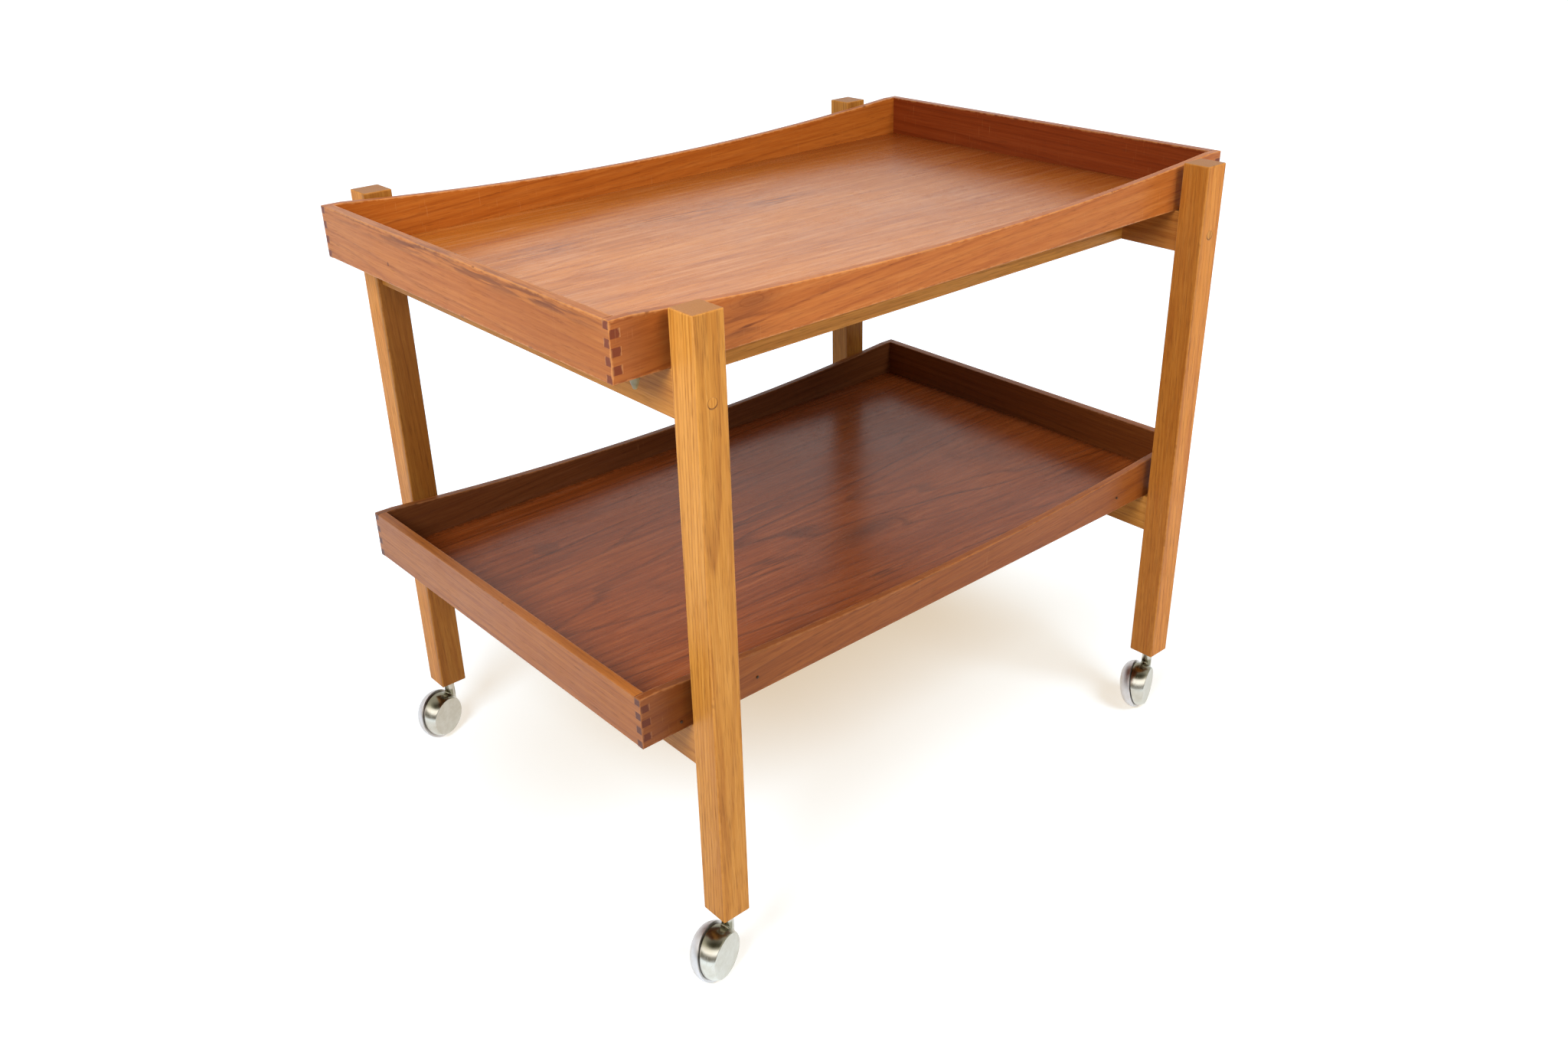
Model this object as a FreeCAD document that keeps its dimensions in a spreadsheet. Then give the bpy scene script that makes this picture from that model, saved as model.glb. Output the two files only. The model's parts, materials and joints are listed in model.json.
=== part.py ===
import FreeCAD, Part
import os
import Sketcher

# Serving trolley: two teak trays with finger-jointed corners on an oak frame that rolls on ball casters.
# Millimetres. +X runs along the trays, +Y to the back, +Z up. The origin is on the floor, under the middle.

doc = FreeCAD.newDocument("serving_trolley")

SIZES = (
    # Oak frame
    ("leg_length", 580.0, "leg, foot to top"),
    ("leg_side", 30.0, "leg, square section"),
    ("leg_edge", 1.2, "leg, rounding of its edges"),
    ("caster_drop", 70.0, "floor to the leg's foot"),
    ("tray_overhang", 48.0, "tray's end past the legs"),
    ("tray_play", 7.0, "gap between a tray's side and a leg"),
    ("rail_depth", 42.0, "rails, height of section"),
    ("rail_thick", 20.0, "rails, thickness of section"),
    ("rail_edge", 1.2, "rails, rounding of the long edges"),
    ("upper_rail_drop", 51.0, "leg top down to the upper rails' top"),
    ("tier_spacing", 329.0, "upper rails' top down to the lower rails' top"),
    ("long_rail_inset", 70.0, "leg's inner face to the long rail's outer face"),
    # Joints of the frame
    ("dowel_radius", 4.0, "dowel"),
    ("dowel_length", 32.0, "dowel"),
    ("dowel_pitch", 22.0, "between the two dowels of a joint"),
    ("long_dowel_bite", 11.0, "depth of the long rails' dowels in a cross rail"),
    ("screw_radius", 2.0, "rail screw, shank"),
    ("screw_head_radius", 4.0, "rail screw, head"),
    ("screw_head", 3.0, "rail screw, height of head"),
    ("screw_bite", 25.0, "rail screw, depth in the rail's end"),
    ("plug_radius", 5.0, "oak plug over a rail screw"),
    ("plug_length", 8.0, "oak plug over a rail screw"),
    ("fit_gap", 0.05, "radial room round dowels, screws, plugs and pins that stay put"),
    ("end_gap", 0.5, "room at the bottom of blind holes"),
    # Trays
    ("tray_length", 780.0, "tray, outside"),
    ("tray_width", 480.0, "tray, outside"),
    ("tray_height", 50.0, "tray, at its corners"),
    ("side_thick", 8.0, "tray's long sides"),
    ("end_thick", 10.0, "tray's ends"),
    ("rim_dip", 16.0, "sweep of the long side's rim at mid length"),
    ("rim_flat", 20.0, "level part of the rim at each corner"),
    ("board_edge", 0.8, "rounding of the rims and outer edges"),
    ("finger_count", 7.0, "fingers of a corner joint"),
    ("panel_thick", 6.0, "tray's floor panel"),
    ("tongue_thick", 3.0, "tongue round the floor panel"),
    ("tongue_reach", 4.0, "tongue's depth in the boards"),
    ("panel_gap", 0.1, "room round the panel and its tongue"),
    # Feet of the upper tray
    ("foot_height", 15.0, "tray foot"),
    ("foot_root_radius", 6.5, "tray foot, under the panel"),
    ("foot_tip_radius", 2.2, "tray foot, round tip"),
    ("foot_end_gap", 13.0, "tray foot to the end board"),
    ("foot_side_gap", 0.5, "tray foot to the side board"),
    ("spigot_radius", 2.0, "tray foot, spigot in the panel"),
    ("spigot_length", 4.0, "tray foot, spigot in the panel"),
    # Ball casters
    ("caster_heading", -160.0, "degrees from +X to the way the wheels trail at rest"),
    ("caster_tilt", 14.0, "degrees that the axle rises towards the hood"),
    ("caster_trail", 17.0, "stem to the ball's centre, along the heading"),
    ("caster_offset", 4.0, "stem to the ball's centre, across the heading"),
    ("wheel_radius", 28.5, "wheel"),
    ("wheel_round", 13.3, "wheel, radius of its shoulder"),
    ("wheel_thick", 15.7, "wheel, split plane to outer face"),
    ("wheel_web", 4.5, "wheel, thickness of its disc"),
    ("wheel_wall", 6.0, "wheel, thickness of its rim"),
    ("wheel_gap", 0.8, "gap between wheel and hood"),
    ("hub_radius", 6.5, "wheel hub"),
    ("hub_reach", 3.0, "wheel hub, past the split plane into the hood"),
    ("hood_radius", 26.0, "hood, a part of a ball"),
    ("hood_flat", 13.0, "hood, ball's centre to the flat face"),
    ("hood_flat_edge", 1.5, "hood, rounding round the flat face"),
    ("hood_wall", 2.5, "hood, wall round its recess"),
    ("hood_recess", 4.5, "hood, depth of its recess"),
    ("axle_radius", 3.0, "axle"),
    ("axle_grip", 6.0, "axle, depth in the hood"),
    ("axle_head_radius", 5.0, "axle, riveted head"),
    ("axle_head", 1.5, "axle, height of the head"),
    ("neck_radius", 5.75, "neck on the hood round the stem"),
    ("neck_flare", 2.0, "hollow rounding between neck and hood"),
    ("stem_radius", 4.0, "stem"),
    ("stem_grip", 14.0, "stem, depth in the neck"),
    ("stem_reach", 35.0, "stem, height above the leg's foot"),
    ("stem_tip", 1.0, "stem, chamfer at the top"),
    ("ring_groove", 0.6, "stem, depth of its ring groove"),
    ("ring_width", 3.0, "stem, width of its ring groove"),
    ("ring_height", 25.0, "stem, foot of the leg to its ring groove"),
    ("socket_wall", 1.2, "socket sleeve in the leg"),
    ("socket_depth", 40.0, "socket sleeve, height in the leg"),
    ("socket_flange", 1.2, "socket sleeve, thickness of its flange"),
    ("socket_flange_radius", 8.5, "socket sleeve, flange under the leg"),
    ("running_gap", 0.05, "radial room of the stem in its socket and the wheel on its axle"),
    ("thrust_gap", 0.3, "end room between parts that turn on each other"),
)

sheet = doc.addObject("Spreadsheet::Sheet", "sizes")
for row, (alias, value, note) in enumerate(SIZES, 1):
    sheet.set(f"A{row}", note)
    sheet.set(f"B{row}", str(value))
    sheet.setAlias(f"B{row}", alias)
doc.recompute()

# Places that several pieces share, as formulas over the sheet
LEG_GAP = "(sizes.tray_width + 2 * sizes.tray_play)"
LEG_X = "(sizes.tray_length / 2 - sizes.tray_overhang - sizes.leg_side / 2)"
LEG_Y = f"(({LEG_GAP} + sizes.leg_side) / 2)"
UPPER_SEAT = "(sizes.caster_drop + sizes.leg_length - sizes.upper_rail_drop)"
LOWER_SEAT = f"({UPPER_SEAT} - sizes.tier_spacing)"
LONG_RAIL_Y = f"({LEG_GAP} / 2 - sizes.long_rail_inset - sizes.rail_thick / 2)"
CROSS_INNER_X = f"({LEG_X} - sizes.rail_thick / 2)"
HALF_LENGTH = "sizes.tray_length / 2"
HALF_WIDTH = "sizes.tray_width / 2"
WELL_X = f"({HALF_LENGTH} - sizes.end_thick)"
WELL_Y = f"({HALF_WIDTH} - sizes.side_thick)"
FINGER = "(sizes.tray_height / sizes.finger_count)"
TONGUE_LOW = "((sizes.panel_thick - sizes.tongue_thick) / 2)"
WHEEL_FACE = "(sizes.wheel_radius - sizes.wheel_round)"
SHOULDER_AT = "(sizes.wheel_thick - sizes.wheel_round)"
BALL_HEIGHT = (f"({WHEEL_FACE} * cos(sizes.caster_tilt)"
               f" + {SHOULDER_AT} * sin(sizes.caster_tilt) + sizes.wheel_round)")
NECK_TOP = f"(sizes.caster_drop - sizes.socket_flange - sizes.thrust_gap - {BALL_HEIGHT})"
SOCKET_OUTER = "(sizes.stem_radius + sizes.running_gap + sizes.socket_wall)"

# Edges are told apart by where they lie: nearer than this, in millimetres, two places are the same
SAME = 1e-3

pieces = []


def new_body(label):
    body = doc.addObject("PartDesign::Body", label)
    body.Label = label
    pieces.append(body)
    return body


def place(body, x="0", y="0", z="0", yaw="0", roll="0"):
    """Puts a body at (x, y, z), rolled about its own X and then turned about Z."""
    body.setExpression("Placement", f"placement(vector({x}; {y}; {z}); rotation({yaw}; 0; {roll}))")


def origin_plane(body, role):
    return next(item for item in body.Origin.OriginFeatures if item.Role == role)


def sketch_on(body, role, name, lift="0", roll="0"):
    """A sketch on one of the body's origin planes, lifted along the plane's normal and rolled about its X."""
    sketch = body.newObject("Sketcher::SketchObject", f"{body.Name}_{name}")
    sketch.AttachmentSupport = (origin_plane(body, role), [""])
    sketch.MapMode = "FlatFace"
    sketch.setExpression("AttachmentOffset", f"placement(vector(0; 0; {lift}); rotation(0; 0; {roll}))")
    return sketch


def hold(sketch, kind, formula, *where):
    """Adds one dimension to a sketch and ties it to a formula."""
    index = sketch.addConstraint(Sketcher.Constraint(kind, *where, float(sketch.evalExpression(formula))))
    sketch.setExpression(f"Constraints[{index}]", formula)


def outline(sketch, corners):
    """Draws a closed outline through corners (x, y) or (x, y, radius).

    A radius makes the way to the next corner an arc: with its centre on the left, or, with a minus, on the right.
    """
    spots = [FreeCAD.Vector(*(float(sketch.evalExpression(part)) for part in corner[:2])) for corner in corners]
    ends = []
    for number, corner in enumerate(corners):
        start, stop = spots[number], spots[(number + 1) % len(spots)]
        if len(corner) == 2:
            edge = sketch.addGeometry(Part.LineSegment(start, stop), False)
            ends.append((edge, 1, 2))
            continue
        bend = float(sketch.evalExpression(corner[2]))
        chord = stop - start
        left = FreeCAD.Vector(-chord.y, chord.x, 0).normalize()
        rise = (bend ** 2 - (chord.Length / 2) ** 2) ** 0.5
        centre = (start + stop) * 0.5 + left * (rise if bend > 0 else -rise)
        circle = Part.Circle(centre, FreeCAD.Vector(0, 0, 1), abs(bend))
        first, last = (start, stop) if bend > 0 else (stop, start)
        edge = sketch.addGeometry(Part.ArcOfCircle(circle, circle.parameter(first), circle.parameter(last)), False)
        ends.append((edge, 1, 2) if bend > 0 else (edge, 2, 1))
        hold(sketch, "Radius", f"abs({corner[2]})", edge)
    for number, (edge, start, stop) in enumerate(ends):
        following = ends[(number + 1) % len(ends)]
        sketch.addConstraint(Sketcher.Constraint("Coincident", edge, stop, following[0], following[1]))
        hold(sketch, "DistanceX", corners[number][0], -1, 1, edge, start)
        hold(sketch, "DistanceY", corners[number][1], -1, 1, edge, start)
    return sketch


def rectangle(sketch, left, right, low, high):
    return outline(sketch, ((left, low), (right, low), (right, high), (left, high)))


def circles(sketch, radius, *centres):
    for x, y in centres:
        middle = FreeCAD.Vector(float(sketch.evalExpression(x)), float(sketch.evalExpression(y)), 0)
        size = float(sketch.evalExpression(radius))
        edge = sketch.addGeometry(Part.Circle(middle, FreeCAD.Vector(0, 0, 1), size), False)
        hold(sketch, "Radius", radius, edge)
        hold(sketch, "DistanceX", x, -1, 1, edge, 3)
        hold(sketch, "DistanceY", y, -1, 1, edge, 3)
    return sketch


def pad(body, sketch, length, reverse=False, both_ways=False):
    feature = body.newObject("PartDesign::Pad", f"{sketch.Name}_pad")
    feature.Profile = sketch
    feature.setExpression("Length", length)
    feature.Reversed = reverse
    feature.SideType = "Symmetric" if both_ways else "One side"
    doc.recompute()
    return feature


def pocket(body, sketch, depth=None, reverse=False):
    """Cuts a sketch into its body, right through where no depth is given, and makes sure that it cut."""
    before = body.Shape.Volume
    feature = body.newObject("PartDesign::Pocket", f"{sketch.Name}_pocket")
    feature.Profile = sketch
    feature.Reversed = reverse
    if depth is None:
        feature.Type = "ThroughAll"
    else:
        feature.setExpression("Length", depth)
    doc.recompute()
    if body.Shape.Volume >= before:
        raise RuntimeError(f"{feature.Name} cuts nothing")
    return feature


def revolve(body, sketch):
    """Turns a sketch about its own vertical axis."""
    feature = body.newObject("PartDesign::Revolution", f"{sketch.Name}_turned")
    feature.Profile = sketch
    feature.ReferenceAxis = (sketch, ["V_Axis"])
    feature.Angle = 360
    doc.recompute()
    return feature


def round_edges(body, radius, wanted):
    """Rounds each edge of the body so far for which wanted(edge) is true."""
    base = body.Tip
    names = [f"Edge{number}" for number, edge in enumerate(base.Shape.Edges, 1) if wanted(edge)]
    feature = body.newObject("PartDesign::Fillet", f"{base.Name}_rounded")
    feature.Base = (base, names)
    feature.setExpression("Radius", radius)
    doc.recompute()
    return feature


def mirror(body, *roles):
    """Mirrors the whole body so far in each of its origin planes named."""
    for role in roles:
        feature = body.newObject("PartDesign::Mirrored", f"{body.Name}_{role}")
        feature.TransformMode = "Whole shape"
        feature.MirrorPlane = (origin_plane(body, role), [""])
        body.Tip = feature
    doc.recompute()


def along(edge, axis):
    """True where a straight edge runs along the given axis, 0 for X, 1 for Y and 2 for Z."""
    run = edge.lastVertex().Point - edge.firstVertex().Point
    return run.Length > SAME > abs(abs(run[axis]) - run.Length)


def at(edge, axis, formula):
    """True where an edge lies all along at one height on an axis, given as a formula over the sheet."""
    value = float(sheet.evalExpression(formula))
    box = edge.BoundBox
    low, high = ((box.XMin, box.XMax), (box.YMin, box.YMax), (box.ZMin, box.ZMax))[axis]
    return abs(low - value) < SAME and abs(high - value) < SAME


def joint_heights(seat):
    """Heights of the two dowels in a rail whose top is at the given formula."""
    middle = f"({seat} - sizes.rail_depth / 2)"
    return f"{middle} - sizes.dowel_pitch / 2", f"{middle} + sizes.dowel_pitch / 2"


def leg(label, side_x, side_y):
    """A leg with its foot at its own origin and its inner face towards its own +Y."""
    body = new_body(label)
    half = "sizes.leg_side / 2"
    pad(body, rectangle(sketch_on(body, "XY_Plane", "section"), f"-{half}", half, f"-{half}", half),
        "sizes.leg_length")
    round_edges(body, "sizes.leg_edge", lambda edge: True)
    bore = circles(sketch_on(body, "XY_Plane", "socket"), f"{SOCKET_OUTER} + sizes.fit_gap", ("0", "0"))
    pocket(body, bore, "sizes.socket_depth + sizes.end_gap", reverse=True)
    upper = f"({UPPER_SEAT} - sizes.caster_drop)"
    lower = f"({LOWER_SEAT} - sizes.caster_drop)"
    heights = joint_heights(upper) + joint_heights(lower)
    dowels = circles(sketch_on(body, "XZ_Plane", "dowels", lift=f"-{half}"), "sizes.dowel_radius + sizes.fit_gap",
                     *(("0", height) for height in heights))
    pocket(body, dowels, "sizes.dowel_length / 2 + sizes.end_gap", reverse=True)
    middle = ("0", f"{upper} - sizes.rail_depth / 2")
    plug = circles(sketch_on(body, "XZ_Plane", "plug", lift=half), "sizes.plug_radius + sizes.fit_gap", middle)
    pocket(body, plug, "sizes.plug_length + sizes.screw_head")
    shank = circles(sketch_on(body, "XZ_Plane", "shank", lift=half), "sizes.screw_radius + sizes.fit_gap", middle)
    pocket(body, shank)
    place(body, f"{side_x} * {LEG_X}", f"{side_y} * {LEG_Y}", "sizes.caster_drop", yaw="0" if side_y < 0 else "180")


def rail(label, length, end_bite):
    """A rail along its own X with its top at its own origin, and two dowel holes in each end."""
    body = new_body(label)
    half = "sizes.rail_thick / 2"
    section = rectangle(sketch_on(body, "YZ_Plane", "section"), f"-{half}", half, "-sizes.rail_depth", "0")
    pad(body, section, length, both_ways=True)
    round_edges(body, "sizes.rail_edge", lambda edge: along(edge, 0))
    for end, sign in (("right", ""), ("left", "-")):
        face = sketch_on(body, "YZ_Plane", f"{end}_dowels", lift=f"{sign}({length}) / 2")
        circles(face, "sizes.dowel_radius + sizes.fit_gap", *(("0", height) for height in joint_heights("0")))
        pocket(body, face, f"{end_bite} + sizes.end_gap", reverse=bool(sign))
    return body


def cross_rail(label, side_x, seat):
    body = rail(label, LEG_GAP, "sizes.dowel_length / 2")
    place(body, f"{side_x} * {LEG_X}", "0", seat, yaw=f"{side_x} * 90")
    return body


def upper_cross_rail(label, side_x):
    """A cross rail that also takes the long rails' dowels on its inner face and a screw in each end."""
    body = cross_rail(label, side_x, UPPER_SEAT)
    inner = sketch_on(body, "XZ_Plane", "long_rail_dowels", lift="-sizes.rail_thick / 2")
    circles(inner, "sizes.dowel_radius + sizes.fit_gap",
            *((f"{sign}{LONG_RAIL_Y}", height) for sign in ("", "-") for height in joint_heights("0")))
    pocket(body, inner, "sizes.long_dowel_bite + sizes.end_gap", reverse=True)
    for end, sign in (("right", ""), ("left", "-")):
        pilot = sketch_on(body, "YZ_Plane", f"{end}_screw", lift=f"{sign}{LEG_GAP} / 2")
        circles(pilot, "sizes.screw_radius + sizes.fit_gap", ("0", "-sizes.rail_depth / 2"))
        pocket(body, pilot, "sizes.screw_bite + sizes.end_gap", reverse=bool(sign))


def long_rail(label, side_y):
    body = rail(label, f"2 * {CROSS_INNER_X}", "sizes.dowel_length - sizes.long_dowel_bite")
    place(body, "0", f"{side_y} * {LONG_RAIL_Y}", UPPER_SEAT)


def pins(label, role, lift, radius, centres, length):
    """A group of round pins, drawn on one plane."""
    body = new_body(label)
    body.AllowCompound = True
    pad(body, circles(sketch_on(body, role, "section", lift=lift), radius, *centres), length)
    return body


def frame_joints():
    """Dowels of the rails, and the screws and plugs that draw the upper cross rails to the legs."""
    heights = joint_heights(UPPER_SEAT) + joint_heights(LOWER_SEAT)
    dowels = pins("cross_rail_dowels", "XZ_Plane", f"{LEG_GAP} / 2 - sizes.dowel_length / 2",
                  "sizes.dowel_radius", [(LEG_X, height) for height in heights], "sizes.dowel_length")
    mirror(dowels, "XZ_Plane", "YZ_Plane")

    dowels = pins("long_rail_dowels", "YZ_Plane", f"{CROSS_INNER_X} + sizes.long_dowel_bite - sizes.dowel_length",
                  "sizes.dowel_radius", [(LONG_RAIL_Y, height) for height in joint_heights(UPPER_SEAT)],
                  "sizes.dowel_length")
    mirror(dowels, "XZ_Plane", "YZ_Plane")

    spot = [(LEG_X, f"{UPPER_SEAT} - sizes.rail_depth / 2")]
    outer = f"{LEG_GAP} / 2 + sizes.leg_side"
    plugs = pins("leg_plugs", "XZ_Plane", f"{outer} - sizes.plug_length", "sizes.plug_radius", spot,
                 "sizes.plug_length")
    mirror(plugs, "XZ_Plane", "YZ_Plane")

    head_back = f"{outer} - sizes.plug_length - sizes.screw_head"
    tip = f"{LEG_GAP} / 2 - sizes.screw_bite"
    screws = pins("rail_screws", "XZ_Plane", tip, "sizes.screw_radius", spot, f"{head_back} - ({tip})")
    head = circles(sketch_on(screws, "XZ_Plane", "head", lift=head_back), "sizes.screw_head_radius", *spot)
    pad(screws, head, "sizes.screw_head")
    mirror(screws, "XZ_Plane", "YZ_Plane")


def finger_slots(sketch, first, outer, depth):
    """Every second finger of a corner joint as a slot, at both ends of a board."""
    count = int(sheet.get("finger_count"))
    for number in range(first, count, 2):
        low, high = f"{number} * {FINGER}", f"{number + 1} * {FINGER}"
        rectangle(sketch, f"-{outer}", f"-{outer} + {depth}", low, high)
        rectangle(sketch, f"{outer} - {depth}", outer, low, high)
    return sketch


def groove(sketch, reach):
    """The groove that holds the panel's tongue, from -reach to reach along a board."""
    return rectangle(sketch, f"-({reach})", reach, f"{TONGUE_LOW} - sizes.panel_gap",
                     f"{TONGUE_LOW} + sizes.tongue_thick + sizes.panel_gap")


def tray_side(label, seat, yaw):
    """A long side on its tray's own -Y edge; its rim sweeps down to mid length in one arc."""
    body = new_body(label)
    chord = "(sizes.tray_length - 2 * sizes.rim_flat)"
    sweep = f"({chord} ^ 2 / 4 + sizes.rim_dip ^ 2) / (2 * sizes.rim_dip)"
    face = sketch_on(body, "XZ_Plane", "face", lift=HALF_WIDTH)
    outline(face, (
        (f"-{HALF_LENGTH}", "0"),
        (HALF_LENGTH, "0"),
        (HALF_LENGTH, "sizes.tray_height"),
        (f"{chord} / 2", "sizes.tray_height", f"-({sweep})"),
        (f"-{chord} / 2", "sizes.tray_height"),
        (f"-{HALF_LENGTH}", "sizes.tray_height"),
    ))
    pad(body, face, "sizes.side_thick", reverse=True)
    mid_height = float(face.evalExpression("sizes.tray_height / 2"))
    round_edges(body, "sizes.board_edge",
                lambda edge: edge.BoundBox.ZMin > mid_height or at(edge, 1, f"-{HALF_WIDTH}"))
    slots = finger_slots(sketch_on(body, "XZ_Plane", "slots", lift=HALF_WIDTH), 1, HALF_LENGTH, "sizes.end_thick")
    pocket(body, slots)
    slit = sketch_on(body, "XZ_Plane", "groove", lift=WELL_Y)
    groove(slit, f"{WELL_X} + sizes.tongue_reach + sizes.panel_gap")
    pocket(body, slit, "sizes.tongue_reach + sizes.panel_gap", reverse=True)
    place(body, z=seat, yaw=yaw)


def tray_end(label, seat, yaw):
    """An end on its tray's own -X edge, level along its rim."""
    body = new_body(label)
    face = sketch_on(body, "YZ_Plane", "face", lift=f"-{HALF_LENGTH}")
    rectangle(face, f"-{HALF_WIDTH}", HALF_WIDTH, "0", "sizes.tray_height")
    pad(body, face, "sizes.end_thick")
    round_edges(body, "sizes.board_edge",
                lambda edge: at(edge, 2, "sizes.tray_height") or at(edge, 0, f"-{HALF_LENGTH}"))
    slots = finger_slots(sketch_on(body, "YZ_Plane", "slots", lift=f"-{HALF_LENGTH}"), 0, HALF_WIDTH,
                         "sizes.side_thick")
    pocket(body, slots, reverse=True)
    slit = sketch_on(body, "YZ_Plane", "groove", lift=f"-{WELL_X}")
    groove(slit, WELL_Y)
    pocket(body, slit, "sizes.tongue_reach + sizes.panel_gap")
    place(body, z=seat, yaw=yaw)


def tray_panel(label, seat):
    """A tray's floor, with a tongue all round that sits in the boards' grooves."""
    body = new_body(label)
    half_x, half_y = f"{WELL_X} - sizes.panel_gap", f"{WELL_Y} - sizes.panel_gap"
    field = rectangle(sketch_on(body, "XY_Plane", "field"), f"-({half_x})", half_x, f"-({half_y})", half_y)
    pad(body, field, "sizes.panel_thick")
    reach_x, reach_y = f"{WELL_X} + sizes.tongue_reach", f"{WELL_Y} + sizes.tongue_reach"
    tongue = sketch_on(body, "XY_Plane", "tongue", lift=TONGUE_LOW)
    pad(body, rectangle(tongue, f"-({reach_x})", reach_x, f"-({reach_y})", reach_y), "sizes.tongue_thick")
    place(body, z=seat)
    return body


def tray(tier, seat):
    for label, yaw in (("front", "0"), ("back", "180")):
        tray_side(f"{tier}_tray_{label}_side", seat, yaw)
    for label, yaw in (("left", "0"), ("right", "180")):
        tray_end(f"{tier}_tray_{label}_end", seat, yaw)
    return tray_panel(f"{tier}_tray_panel", seat)


def tray_feet(panel):
    """Four tapered feet under the corners of the upper tray, each with a spigot in the panel."""
    foot_x = f"{WELL_X} - sizes.foot_end_gap - sizes.foot_root_radius"
    foot_y = f"{WELL_Y} - sizes.foot_side_gap - sizes.foot_root_radius"
    corners = [(f"{sign_x}({foot_x})", f"{sign_y}({foot_y})") for sign_x in ("", "-") for sign_y in ("", "-")]
    holes = circles(sketch_on(panel, "XY_Plane", "spigots"), "sizes.spigot_radius + sizes.fit_gap", *corners)
    pocket(panel, holes, "sizes.spigot_length + sizes.end_gap", reverse=True)

    body = new_body("upper_tray_feet")
    body.AllowCompound = True
    spigot = circles(sketch_on(body, "XY_Plane", "spigot"), "sizes.spigot_radius", corners[0])
    pad(body, spigot, "sizes.spigot_length")
    half = sketch_on(body, "XZ_Plane", "half", lift=f"-({foot_y})")
    outline(half, (
        (foot_x, "0"),
        (foot_x, "-sizes.foot_height", "sizes.foot_tip_radius"),
        (f"{foot_x} + sizes.foot_tip_radius", "-(sizes.foot_height - sizes.foot_tip_radius)"),
        (f"{foot_x} + sizes.foot_root_radius", "0"),
    ))
    axis = half.addGeometry(Part.LineSegment(FreeCAD.Vector(0, 0, 0), FreeCAD.Vector(0, 1, 0)), True)
    half.addConstraint(Sketcher.Constraint("Vertical", axis))
    half.addConstraint(Sketcher.Constraint("PointOnObject", 0, 1, axis))
    turned = body.newObject("PartDesign::Revolution", "upper_tray_foot_turned")
    turned.Profile = half
    turned.ReferenceAxis = (half, ["Axis0"])
    turned.Angle = 360
    mirror(body, "XZ_Plane", "YZ_Plane")
    place(body, z=UPPER_SEAT)


def on_stem(body, side_x, side_y, z):
    place(body, f"{side_x} * {LEG_X}", f"{side_y} * {LEG_Y}", z)


def on_ball(body, side_x, side_y, roll="0"):
    """Puts a caster's piece at the ball's centre, with its own X along the trail and its own Y to the hood."""
    heading = "sizes.caster_heading"
    x = f"{side_x} * {LEG_X} + sizes.caster_trail * cos({heading}) + sizes.caster_offset * sin({heading})"
    y = f"{side_y} * {LEG_Y} + sizes.caster_trail * sin({heading}) - sizes.caster_offset * cos({heading})"
    place(body, x, y, BALL_HEIGHT, yaw=heading, roll=roll)


def socket_sleeve(label, side_x, side_y):
    body = new_body(label)
    bore = "(sizes.stem_radius + sizes.running_gap)"
    revolve(body, outline(sketch_on(body, "XZ_Plane", "half"), (
        (bore, "-sizes.socket_flange"),
        ("sizes.socket_flange_radius", "-sizes.socket_flange"),
        ("sizes.socket_flange_radius", "0"),
        (SOCKET_OUTER, "0"),
        (SOCKET_OUTER, "sizes.socket_depth"),
        (bore, "sizes.socket_depth"),
    )))
    on_stem(body, side_x, side_y, "sizes.caster_drop")


def stem(label, side_x, side_y):
    """The swivel pin: its foot is held in the hood's neck, and its top turns in the socket."""
    body = new_body(label)
    foot = "-(sizes.socket_flange + sizes.thrust_gap + sizes.stem_grip)"
    waist = "sizes.stem_radius - sizes.ring_groove"
    revolve(body, outline(sketch_on(body, "XZ_Plane", "half"), (
        ("0", foot),
        ("sizes.stem_radius", foot),
        ("sizes.stem_radius", "sizes.ring_height"),
        (waist, "sizes.ring_height"),
        (waist, "sizes.ring_height + sizes.ring_width"),
        ("sizes.stem_radius", "sizes.ring_height + sizes.ring_width"),
        ("sizes.stem_radius", "sizes.stem_reach - sizes.stem_tip"),
        ("sizes.stem_radius - sizes.stem_tip", "sizes.stem_reach"),
        ("0", "sizes.stem_reach"),
    )))
    on_stem(body, side_x, side_y, "sizes.caster_drop")


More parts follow.
